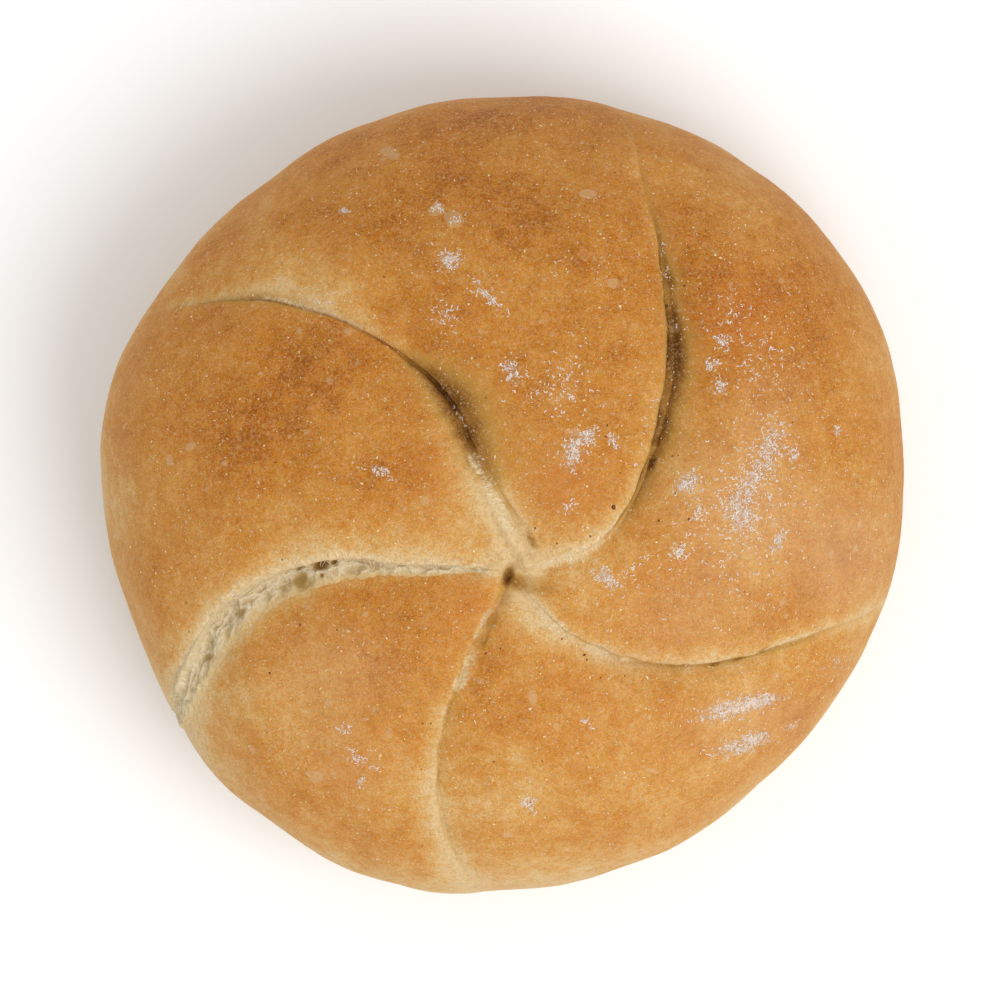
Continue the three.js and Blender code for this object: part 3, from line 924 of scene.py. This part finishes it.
# %% Blisters, glints and pin-pricks
def bent_by_noise(place, noise_colour, amount):
    return add("ShaderNodeVectorMath", {0: noise_colour, 1: amount, 2: place},
               operation="MULTIPLY_ADD").outputs[0]


def spots_at(place, spacing, radius, share, softness=0.35):
    """Scattered spots of random size: metres apart, metres in radius, and the share that show."""
    cells = add("ShaderNodeTexVoronoi", {"Vector": place, "Scale": 1 / spacing})
    luck = add("ShaderNodeSeparateColor", {"Color": cells.outputs["Color"]}).outputs
    size = times(plus(luck["Green"], 0.35), radius / spacing)
    disc = stepped(maths("SUBTRACT", size, cells.outputs["Distance"]), 0.0,
                   radius / spacing * softness)
    shown = maths("LESS_THAN", luck["Red"], share)
    return times(disc, times(plus(luck["Blue"], 0.3), shown))


bend = noise_at(place, 1000 / 0.6, detail=2, roughness=0.6, output="Color")
bent_place = bent_by_noise(place, bend, (0.9 * MM,) * 3)
blisters = higher(spots_at(bent_place, 0.0013, 0.00032, 0.45, 0.7),
                  spots_at(bent_place, 0.0031, 0.0006, 0.45, 0.7))
scab = stepped(plus(mark("scab"), centred(mottle, 0.9)), 0.35, 0.6)
thin_places = plus(centred(grain, 3.0), 1.0, clamp=True)
blisters = times(higher(blisters, scab, clamp=True), thin_places)
glints = grained(place, 1000 / 0.34, "Flecks")
pricks = stepped(grained(place, 1000 / 0.36), 0.33, 0.27)
sparks = higher(spots_at(bent_place, 0.00065, 0.00012, 0.5),
                spots_at(place, 0.0013, 0.00014, 0.45))
sparks = times(sparks, stepped(mottle, 0.35, 0.6), clamp=True)
for share, layer in ((times(blisters, 0.45), BLISTER_SKIN), (times(glints, 0.42), GLINT_PINK),
                     (times(pricks, 0.3), SPECK_BROWN), (sparks, SPARK)):
    colour = mixed(share, colour, layer)

# %% [markdown]
# Torn skin shows the crumb below it: cream strands, drawn out across the cut, with pores
# between them. The strip of crumb in the wide tear has the same strands, so they are a node
# group of their own. Its `Place` is mm along and across the cut.

# %% Strands of torn dough
torn_strands, given = new_group("torn strands", ["Place"], ["Strands", "Pores", "Web"])
place_on_cut = given["Place"]
drawn = add("ShaderNodeVectorMath", {0: place_on_cut, 1: (5.0, 1.3, 1.0)},
            operation="MULTIPLY").outputs[0]
strands = noise_at(drawn, 1.0, detail=3, roughness=0.65, distortion=1.6)
pores = noise_at(place_on_cut, 2.6, detail=2, roughness=0.6)
bend = noise_at(place_on_cut, 1.3, detail=3, output="Color")
cells = add("ShaderNodeTexVoronoi",
            {"Vector": bent_by_noise(place_on_cut, bend, (1.6, 1.6, 0)), "Scale": 0.75},
            feature="DISTANCE_TO_EDGE")
add("NodeGroupOutput", {"Strands": stepped(strands, 0.42, 0.64),
                        "Pores": stepped(pores, 0.40, 0.30),
                        "Web": stepped(cells.outputs["Distance"], 0.11, 0.02)})


def stranded():
    beside = add("ShaderNodeCombineXYZ", {"X": mark("down_cut"), "Y": mark("off_cut")})
    return add("ShaderNodeGroup", {"Place": beside.outputs[0]}, node_tree=torn_strands).outputs


tree = crust_material.node_tree
strands, pores, _ = stranded()
torn_swing = plus(centred(strands, 0.9), centred(mottle, 2.4))
torn_share = stepped(times(mark("torn"), plus(torn_swing, 1.0)), 0.12, 1.1)
torn_colour = mixed(strands, TORN_GREY, TORN_WHITE)
torn_colour = mixed(times(pores, 0.45), torn_colour, CRUMB_OLIVE)
colour = mixed(times(torn_share, 0.8), colour, torn_colour)
torn_relief = times(maths("SUBTRACT", strands, pores), torn_share)

# %% A film of flour
film_noise = noise_at(place, 1000 / 0.7, detail=4, roughness=0.9)
film = stepped(plus(film_noise, times(mark("flour"), 0.13)), 0.55, 0.68)
film = times(film, stepped(mark("flour"), 0.05, 0.5))
colour = mixed(times(film, 0.8), colour, FLOUR_WHITE)

# %% [markdown]
# The height of the bump is worked out in millimetres, and one bump node turns it into normals.
# The crust is dull, and duller where flour lies.

# %% Relief and gloss
tree.links.new(colour, shader.inputs["Base Color"])
relief = 0
for source, height in ((mottle, 0.16), (grain, 0.10), (fine_grain, 0.06), (blisters, 0.05),
                       (glints, 0.03), (sparks, 0.03), (film, 0.05), (torn_relief, 0.02)):
    relief = plus(times(source, height), relief)
roughen(shader, relief, MM)
gloss = add("ShaderNodeMapRange", {"Value": film, "To Min": 0.62, "To Max": 0.9})
tree.links.new(gloss.outputs["Result"], shader.inputs["Roughness"])
sheet.materials.append(crust_material)
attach(crust, "root")
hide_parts("roll")

# %% [markdown]
# ## Torn crumb
# Where a fold opened in the oven, the soft inside shows: cells of gas with thin walls between
# them, drawn out across the tear. It could be painted on, but its walls catch light and its
# cells are dark, so it is a strip of its own. `beside_cut` finds the skin at any row and any
# distance sideways of a cut, which is where the strip is laid.

# %% Find the skin beside a cut
def beside_cut(name, rows_at, sideways):
    """Skin points and outward directions at row numbers, and mm sideways of a cut's middle."""
    index = CUT_NAMES.index(name)
    first, margin = index * SECTOR, PETAL_COLUMNS // 2
    window = np.arange(first - margin, first + GAP_COLUMNS + margin) % COLUMNS
    turn = (bearing[:, window] - cut_rows[index]["middle"][:, None] + 180) % 360 - 180
    offset = np.radians(turn) * ring[:, None]
    points = np.empty((*sideways.shape, 3))
    normals = np.empty_like(points)
    for i, at in enumerate(rows_at):
        low = min(int(at), ROWS - 1)
        share = at - low
        here = offset[low] * (1 - share) + offset[low + 1] * share
        for target, grid in ((points, skin), (normals, outward)):
            line = grid[low, window] * (1 - share) + grid[low + 1, window] * share
            for axis in range(3):
                target[i, :, axis] = np.interp(sideways[i], here, line[:, axis])
    normals /= np.linalg.norm(normals, axis=-1, keepdims=True)
    return points, normals


# %% [markdown]
# `travel` counts on past the belly, so the strip can run down the side. It is a fine grid whose
# points are lifted to walls and pressed to cells, both from Voronoi distances: a point is on a
# wall where its two nearest cell middles are equally far. Towards its ragged edges and at both
# ends the strip dives under the crust.

# %% Sizes of the torn crumb
CRUMB_FROM, CRUMB_TO = 0.04, 1.0  # travel
CRUMB_BREADTHS = [0.8, 2.2, 3.8, 4.8, 5.2, 2.6]  # mm, at even stations along the strip
CRUMB_CELL = 1.5  # mm across
CRUMB_RELIEF = 0.7  # mm
CRUMB_FILL = 0.3  # mm that the crumb rises out of the cut
CRUMB_DIVE = 0.2  # mm that its edges and ends go under the crust
CRUMB_PITCH = 0.15  # mm between the grid's points
CRUMB_THICKNESS = 0.3
# x, y, half length, half breadth, heading, depth in mm: big gas holes in the tear
GAS_HOLES = [
    (-22.4, -8.5, 1.1, 0.6, 0, 0.75), (-20.7, -8.1, 0.35, 0.35, 0, 0.8),
    (-24.9, -9, 0.5, 0.2, 20, 0.7), (-22.2, -9.9, 0.25, 0.25, 0, 0.6),
    (-24.6, -10.7, 1.3, 1.3, 0, 0.45), (-32, -14.5, 0.8, 0.5, 60, 0.35),
    (-36, -20, 0.8, 0.6, 40, 0.35),
]


def crumb_cells(s, x, cell, seed):
    """Wall and bowl, each 0 to 1, and the cell's tint, at s mm along and x mm across."""
    spot = Vector((s * 0.8 / cell, x / cell, seed))
    spot += noise.noise_vector(spot * 1.7) * 0.35
    near, middles = noise.voronoi(spot)
    between = near[1] - near[0]
    return 1 - min(between / 0.16, 1), min(between / 0.6, 1), noise.cell(middles[0] * 9.1)


# %% Cells, walls and gas holes
torn_index = CUT_NAMES.index("west")
seed = torn_index * 5.0
length = (CRUMB_TO - CRUMB_FROM) * OUTLINE_RADIUS
steps, across = int(length / CRUMB_PITCH), int(max(CRUMB_BREADTHS) / CRUMB_PITCH)
u, v = np.linspace(0, 1, steps + 1), np.linspace(-1, 1, across + 1)
first_row, last_row = np.interp([CRUMB_FROM, CRUMB_TO], travel, row)
rows_at = first_row + (last_row - first_row) * u
sideways = v * (np.maximum(along(CRUMB_BREADTHS, u), 0.1) / 2)[:, None]
points, normals = beside_cut("west", rows_at, sideways)
filled = cut_rows[torn_index]["room"] + CRUMB_FILL * smoothstep(reach, 0.1, 0.3) * cut_fade
filled = np.interp(rows_at, row, filled)
walls, tints, bowls, lift = np.zeros((4, steps + 1, across + 1))
noise.seed_set(11)  # noise_vector starts from the clock otherwise, and each run would differ
for a in range(steps + 1):
    s = u[a] * length
    frays = [0.84 + 0.3 * noise.noise(Vector((s / 0.9, seed, side)))
             + 0.12 * noise.noise(Vector((s / 0.25, seed, side))) for side in (2.0, 7.0)]
    for b in range(across + 1):
        x = sideways[a, b]
        wall, bowl, tints[a, b] = crumb_cells(s, x, CRUMB_CELL, seed)
        pore, _, _ = crumb_cells(s, x, CRUMB_CELL / 3, seed + 3)
        threads = noise.noise(Vector(((s + 0.6 * x) / 0.22, (x - s) / 1.6, seed))) + 0.15
        outwards = abs(v[b]) / frays[0 if v[b] < 0 else 1]
        core = 1 - smoothstep(outwards, 0.62, 1.0)
        lift[a, b] = (filled[a] * (1 - v[b] ** 2) ** 1.4 + 0.04
                      + CRUMB_RELIEF * core * (0.22 * wall - 0.5 * bowl + 0.2)
                      + CRUMB_RELIEF * (0.05 * pore + 0.03 * threads) * (0.3 + 0.7 * core)
                      - CRUMB_DIVE * smoothstep(outwards, 0.92, 1.2))
        walls[a, b] = max(wall * core, 0.2 * pore + 0.5 * max(threads, 0))
        bowls[a, b] = core * bowl
holes = oval_marks(points, GAS_HOLES)
lift = np.maximum(lift - holes, np.minimum(lift, 0.05))
dives = np.maximum(smoothstep(u, 0.02, 0), smoothstep(u, 0.94, 1))[:, None]
lift = lift * (1 - dives) - CRUMB_DIVE * dives
laid = (points + normals * lift[..., None]) * MM
down_cut = (CRUMB_FROM + u[:, None] * (CRUMB_TO - CRUMB_FROM)) * OUTLINE_RADIUS
strip_marks = {"wall": walls, "tint": tints, "bowl": bowls, "hole": np.clip(holes / 0.7, 0, 1),
               "side": np.broadcast_to(v, lift.shape), "off_cut": sideways,
               "down_cut": np.broadcast_to(down_cut, lift.shape)}

# %% The strip as a mesh
strip = bmesh.new()
bmesh.ops.create_grid(strip, x_segments=across, y_segments=steps, size=1)
layers = {key: strip.verts.layers.float.new(key) for key in strip_marks}
for vert in strip.verts:
    here = round((vert.co.y + 1) / 2 * steps), round((vert.co.x + 1) / 2 * across)
    vert.co = laid[here]
    for key, layer in layers.items():
        vert[layer] = strip_marks[key][here]
lower = bmesh.ops.extrude_face_region(strip, geom=strip.faces[:], use_keep_orig=True)["geom"]
lower = [g for g in lower if isinstance(g, bmesh.types.BMVert)]
bmesh.ops.translate(strip, verts=lower, vec=(0, 0, -CRUMB_THICKNESS * MM))
bmesh.ops.recalc_face_normals(strip, faces=strip.faces[:])
for face in strip.faces:
    face.smooth = True
print("torn crumb: open edges:", sum(not edge.is_manifold for edge in strip.edges))
crumb_mesh = to_mesh("torn_crumb", strip)
torn_crumb = put_in_scene("torn_crumb", crumb_mesh)
print("torn crumb triangles:", count_triangles(crumb_mesh))

# %% [markdown]
# ## Crumb material
# Crumb never browned. Its walls are cream and its cells a greyish olive, because the light
# that reaches them has gone through wet dough. Each cell has a tint of its own, and both
# edges of the strip are yellower, where the crumb is thin. Towards the star, where the tear is
# narrow, the cells are painted darker olive as painted shade under the upper lip, and the lower
# fringe turns golder. The gas holes are painted olive, and brown at their deepest: painted
# shade in the hollows.

# %% Crumb material
CELL_OLIVE = (0.44, 0.28, 0.085)
CELL_GREY = (0.52, 0.385, 0.18)
HOLE_SHADE_BROWN = (0.30, 0.165, 0.04)
FRINGE_CREAM = (0.62, 0.475, 0.25)
FRINGE_YELLOW = (0.60, 0.415, 0.165)
FRINGE_GOLD = (0.54, 0.32, 0.10)

crumb_material, shader = new_material("torn crumb", roughness=0.8, specular=0.2)
crumb_grain = grained(on_object(), 1000 / 0.25)
crumb_patches = noise_at(on_object(), 1000 / 3.0, detail=3, roughness=0.6)
strands, pores, web = stranded()
# towards the star: painted shade on the cells of the narrow tear, and a golder lower fringe
shade_and_gold_near_star = times(stepped(mark("down_cut"), 42.0, 24.0), 0.75)
cell_tint = plus(mark("tint"), centred(crumb_patches, 1.5))
cell_colour = mixed(plus(cell_tint, shade_and_gold_near_star, clamp=True), CELL_GREY, CELL_OLIVE)
wall_share = higher(higher(times(strands, 0.6), mark("wall")), times(web, 0.8))
ragged_side = plus(mark("side"), centred(strands, 0.3))
fringe = mixed(shade_and_gold_near_star, FRINGE_YELLOW, FRINGE_GOLD)
colour = mixed(stepped(mark("bowl"), 0.0, 0.7), CRUMB_GREY, cell_colour)
for share, layer in (
    (times(wall_share, 0.9, clamp=True), CRUMB_WHITE),
    (times(stepped(ragged_side, -0.45, -0.8), 0.9), FRINGE_CREAM),
    (times(stepped(ragged_side, 0.3, 0.8), 0.8), fringe),
    (times(strands, 0.3), CRUMB_WHITE),
    (times(pores, 0.45), CRUMB_OLIVE),
    # painted shade in the gas holes: olive, and brown at their deepest
    (stepped(mark("hole"), 0.15, 0.6), CELL_OLIVE),
    (stepped(mark("hole"), 0.7, 1.0), HOLE_SHADE_BROWN),
):
    colour = mixed(share, colour, layer)
tree.links.new(colour, shader.inputs["Base Color"])
relief = plus(maths("SUBTRACT", strands, pores), crumb_grain)
roughen(shader, plus(times(web, 1.5), relief), 0.03 * MM)
crumb_mesh.materials.append(crumb_material)
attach(torn_crumb, "root")

# %% [markdown]
# ## Threads of gluten
# Across the tear hang threads of gluten, thick where they leave a lip and thin where they end.
# One thread is a tapered square rod with a few rings. It is made once, poured into a pile as
# many times as there are threads, and every copy is then bent along its own curve.

# %% Copies of a small shape
random.seed(11)
dice = np.random.default_rng(11)


def pour(name, template, count):
    """A mesh of many copies of a template, and the template's vertices as an array."""
    pile = bmesh.new()
    for _ in range(count):
        pile.from_mesh(template)
    for face in pile.faces:
        face.smooth = True
    return to_mesh(name, pile), np.array([vert.co for vert in template.vertices])


def set_points(mesh, points):
    mesh.vertices.foreach_set("co", (points * MM).ravel())
    mesh.update()
    placed = put_in_scene(mesh.name, mesh)
    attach(placed, "root")
    print(mesh.name, "triangles:", count_triangles(mesh))
    return placed


rod = bmesh.new()
bmesh.ops.create_cone(rod, cap_ends=True, segments=4, radius1=1, radius2=1, depth=1)
upright = [e for e in rod.edges if abs(e.verts[0].co.z - e.verts[1].co.z) > 0.5]
bmesh.ops.subdivide_edges(rod, edges=upright, cuts=4)
rod_mesh = to_mesh("thread", rod)

# %% Threads across the wide tear
# from, to (travel), half breadth of the tear in mm, how many threads
THREADS = [(0.10, 0.55, 1.4, 60), (0.55, 0.98, 2.2, 60)]
from_lip = 1 if cut_rows[torn_index]["plump_before"] is None else -1
thread_ends = []
for start, end, half, count in THREADS:
    at = np.sort(dice.uniform(start, end, count))
    slant = dice.normal(0, 0.012, count)
    near = from_lip * half * dice.uniform(0.8, 1.15, count)
    far = near - from_lip * dice.uniform(0.4, 1.8, count)
    rows_near = np.interp(at, travel, row)
    rows_far = np.interp(at + slant, travel, row)
    room = cut_rows[torn_index]["room"][np.rint(rows_near).astype(int)]
    near_points, near_out = beside_cut("west", rows_near, near[:, None])
    far_points, far_out = beside_cut("west", rows_far, far[:, None])
    near_points = near_points[:, 0] + near_out[:, 0] * 0.05
    far_points = far_points[:, 0] + far_out[:, 0] * (room + 0.3)[:, None]
    thread_ends.append(np.stack([near_points, far_points, near_out[:, 0]], axis=1))
thread_ends = np.concatenate(thread_ends)
THREAD_COUNT = len(thread_ends)
thread_mesh, rod_points = pour("gluten_threads", rod_mesh, THREAD_COUNT)
u = (rod_points[:, 2] + 0.5)[None, :, None]
near_end, far_end, out = (thread_ends[:, i][:, None, :] for i in range(3))
hump = dice.uniform(-0.1, 0.2, (THREAD_COUNT, 1, 1))
middle_line = near_end * (1 - u) + far_end * u + out * hump * 4 * u * (1 - u)
way = far_end - near_end
way /= np.maximum(np.linalg.norm(way, axis=-1, keepdims=True), 1e-6)
sideways = np.cross(way, out)
thickness = dice.uniform(0.03, 0.055, (THREAD_COUNT, 1, 1)) * (1 - 0.6 * u)
threads = middle_line + thickness * (rod_points[None, :, 0:1] * sideways
                                     + rod_points[None, :, 1:2] * out)
gluten_threads = set_points(thread_mesh, threads)
gluten_threads.data.materials.append(crumb_material)
wall_layer = thread_mesh.attributes.new("wall", "FLOAT", "POINT")
wall_layer.data.foreach_set("value", np.ones(len(thread_mesh.vertices), np.float32))

# %% [markdown]
# ## Loose flour
# The flour that is thick enough to stand up is real grains. A grain of it is a lumpy flattened
# ball. They cling together in short crooked chains, which is why flour on a crust looks like
# twigs and commas. Each chain starts in one of the streaks and walks a few steps, and each
# grain drops straight down onto the crust.

# %% Chains of flour grains
GRAIN_STEP = 0.12  # mm from one grain of a chain to the next
FLECK_COUNT = 1.7  # chains for each fleck in the list of streaks


def chain(x, y, links):
    heading = random.uniform(0, 2 * math.pi)
    spots = []
    for _ in range(links):
        spots.append((x, y))
        heading += random.gauss(0, 0.9)
        x += GRAIN_STEP * math.cos(heading)
        y += GRAIN_STEP * math.sin(heading)
    return spots


def dropped(spots):
    """Where grains dropped at plan places land, and which way the crust faces there."""
    landed = []
    for x, y in spots:
        point, normal, _, _ = skin_tree.ray_cast(Vector((x * MM, y * MM, 0.1)), Vector((0, 0, -1)))
        if point is not None and normal.z > 0.15:
            landed.append((point / MM, normal))
    return np.array(landed)


flour_spots = []
for x, y, length, breadth, heading, film_share, flecks in FLOURED:
    a = math.radians(heading)
    for _ in range(int(flecks * FLECK_COUNT)):
        lengthways, crossways = random.gauss(0, 0.6) * length, random.gauss(0, 0.75) * breadth
        flour_spots += chain(x + lengthways * math.cos(a) - crossways * math.sin(a),
                             y + lengthways * math.sin(a) + crossways * math.cos(a),
                             random.choice((1, 2, 3, 4, 6)))
flour_landed = dropped(flour_spots)

ball = bmesh.new()
bmesh.ops.create_icosphere(ball, subdivisions=1, radius=1)
ball_mesh = to_mesh("grain", ball)


def lay_grains(name, landed, radii, flatness):
    """A mesh of lumpy grains, each flattened against the crust where it landed."""
    count = len(landed)
    mesh, ball_points = pour(name, ball_mesh, count)
    lumpy = ball_points[None] * dice.uniform(0.75, 1.25, (count, len(ball_points), 1))
    middle, out = landed[:, 0], landed[:, 1]
    spin = dice.uniform(0, 2 * math.pi, count)
    level = np.stack([np.cos(spin), np.sin(spin), np.zeros(count)], axis=1)
    long_way = np.cross(out, level)
    long_way /= np.linalg.norm(long_way, axis=1, keepdims=True)
    short_way = np.cross(out, long_way)
    stretch = dice.uniform(1.0, 1.8, (count, 1, 1))
    shaped = (lumpy[..., 0:1] * long_way[:, None] * stretch + lumpy[..., 1:2] * short_way[:, None]
              + lumpy[..., 2:3] * out[:, None] * flatness)
    return set_points(mesh, middle[:, None] + out[:, None] * radii[:, None, None] * flatness * 0.6
                      + shaped * radii[:, None, None])


flour = lay_grains("flour", flour_landed, dice.uniform(0.04, 0.085, len(flour_landed)), 0.6)

# %% [markdown]
# Finer grains are spread over the whole top, more of them on the side that the flour came
# from. They are single grains or pairs, yellower because the crust shines through them.

# %% Scattered grains
SCATTERED = 5200
scattered_spots = []
while len(scattered_spots) < SCATTERED:
    x, y = random.uniform(-50, 50), random.uniform(-50, 50)
    side = 0.5 + 0.5 * math.tanh((x - y * 0.3) / 25)
    patch = 0.5 + noise.noise(Vector((x / 6, y / 6, 3)))
    if math.hypot(x, y) < 49 and random.random() < (0.35 + 0.65 * side) * patch:
        scattered_spots += chain(x, y, random.choice((1, 1, 1, 2, 3)))
scattered_landed = dropped(scattered_spots)
scattered_radii = 0.04 + 0.06 * dice.random(len(scattered_landed)) ** 2.5
scattered_grains = lay_grains("scattered_grains", scattered_landed, scattered_radii, 0.6)

# %% Flour materials
def powder(name, light_colour, shade_colour, patch=0.6):
    material, shader = new_material(name, roughness=0.9, specular=0.2)
    patches = grained(on_object(), 1000 / patch)
    tree.links.new(ramp(patches, [(0.35, shade_colour), (0.65, light_colour)]),
                   shader.inputs["Base Color"])
    return material


flour.data.materials.append(powder("flour", (0.82, 0.74, 0.68), (0.66, 0.54, 0.45)))
scattered_grains.data.materials.append(
    powder("fine flour", (0.80, 0.66, 0.44), (0.66, 0.46, 0.24)))

# %% [markdown]
# ## Specks
# A few dark specks of bran and burnt flour are baked into the crust. They are the same lumpy
# grains, bigger and flatter, and each has a place of its own.

# %% Specks of bran
# x, y, radius in mm
BRAN = [
    (19.4, -3.2, 0.17), (23.1, -3, 0.15), (10.2, -19.8, 0.13), (10.5, -20.4, 0.11),
    (4.1, -4.1, 0.1), (-28.8, -22.1, 0.14), (-25, -16.1, 0.14), (22.6, 25.9, 0.13),
    (24.4, 25.6, 0.12), (20.4, 23.4, 0.2), (13.8, -1.5, 0.26), (7.4, -17.8, 0.1),
    (-2, -19.6, 0.1), (15.2, -22.4, 0.1), (12.8, 7.2, 0.12), (-28, 4, 0.09), (36, 9, 0.1),
    (-14.6, 27, 0.1), (30, -12, 0.1), (-10, -34, 0.1), (5, -33, 0.1), (-35, 14, 0.09),
    (14, 40, 0.1), (-2, 12, 0.09), (6.8, -6, 0.1), (10.9, -5.1, 0.12), (-0.2, -19, 0.1),
    (12.2, -22.6, 0.1), (-20.4, -16.7, 0.1), (-38.9, -17, 0.1), (-27.2, -8, 0.1),
    (-39.2, -13.4, 0.09), (18.8, 36.2, 0.1), (-1, -33, 0.11), (3.6, -38.1, 0.11),
    (-9.8, -28.3, 0.1), (-8.8, -28.3, 0.09), (13, 8.6, 0.11), (14.6, 2.7, 0.1), (21.5, 0.2, 0.12),
    (21.1, 4.8, 0.09), (21.8, 4.9, 0.09),
]
bran_sizes, bran_landed = [], []
for x, y, radius in BRAN:
    for landed in dropped([(x, y)]):  # one, or none where the skin is too steep
        bran_landed.append(landed)
        bran_sizes.append(radius)
bran = lay_grains("bran_specks", np.array(bran_landed), np.array(bran_sizes), 0.3)
bran.data.materials.append(powder("bran", (0.30, 0.09, 0.02), (0.06, 0.025, 0.01), patch=4))

# %% [markdown]
# ## Floor, light and camera
# The roll stands on a plain pale floor in soft light, with the brighter side at the lower
# right. The camera looks straight down through a long lens, so the outline has hardly any
# perspective.

# %% Floor
floor_grid = bmesh.new()
bmesh.ops.create_grid(floor_grid, x_segments=1, y_segments=1, size=1.5)
floor = put_in_scene("floor", to_mesh("floor", floor_grid))
floor_material, shader = new_material("floor", roughness=0.9, specular=0.5)
shader.inputs["Base Color"].default_value = (0.96, 0.96, 0.96, 1)
floor.data.materials.append(floor_material)

# %% Light and world
world = bpy.data.worlds.new("studio")
bpy.context.scene.world = world
world.use_nodes = True
world.node_tree.nodes["Background"].inputs["Color"].default_value = (1, 1, 1, 1)
world.node_tree.nodes["Background"].inputs["Strength"].default_value = 0.80


def soft_light(name, azimuth, elevation, distance, size, watts):
    lamp = bpy.data.lights.new(name, "AREA")
    lamp.shape = "DISK"
    lamp.size = size
    lamp.energy = watts
    lamp_object = put_in_scene(name, lamp)
    a, e = math.radians(azimuth), math.radians(elevation)
    way = Vector((math.cos(e) * math.cos(a), math.cos(e) * math.sin(a), math.sin(e)))
    lamp_object.location = way * distance + Vector((0, 0, 0.03))
    lamp_object.visible_camera = False
    lamp_object.rotation_euler = (-way).to_track_quat("-Z", "Y").to_euler()


soft_light("key", azimuth=-40, elevation=58, distance=1.2, size=0.8, watts=7.5)

# %% Camera
PICTURE_PIXELS = 1000
ROLL_MIDDLE = (502.0, 495.0)  # pixels: where the middle of the roll's box is in the picture
MM_PER_PIXEL = 0.1252  # at the belly's level, where the outline is
LENS, SENSOR = 700.0, 36.0
frame_width = PICTURE_PIXELS * MM_PER_PIXEL * MM
above_belly = frame_width * LENS / SENSOR
camera_data = bpy.data.cameras.new("camera")
camera_data.lens = LENS
camera_data.sensor_width = SENSOR
camera = put_in_scene("camera", camera_data)
camera.location = (
    -(ROLL_MIDDLE[0] - PICTURE_PIXELS / 2) * MM_PER_PIXEL * MM,
    (ROLL_MIDDLE[1] - PICTURE_PIXELS / 2) * MM_PER_PIXEL * MM,
    BELLY_HEIGHT * MM + above_belly,
)
camera_data.clip_start, camera_data.clip_end = 0.05, 10
bpy.context.scene.camera = camera
bpy.context.scene.view_settings.view_transform = "Standard"
print("camera height, m:", round(camera.location.z, 3))
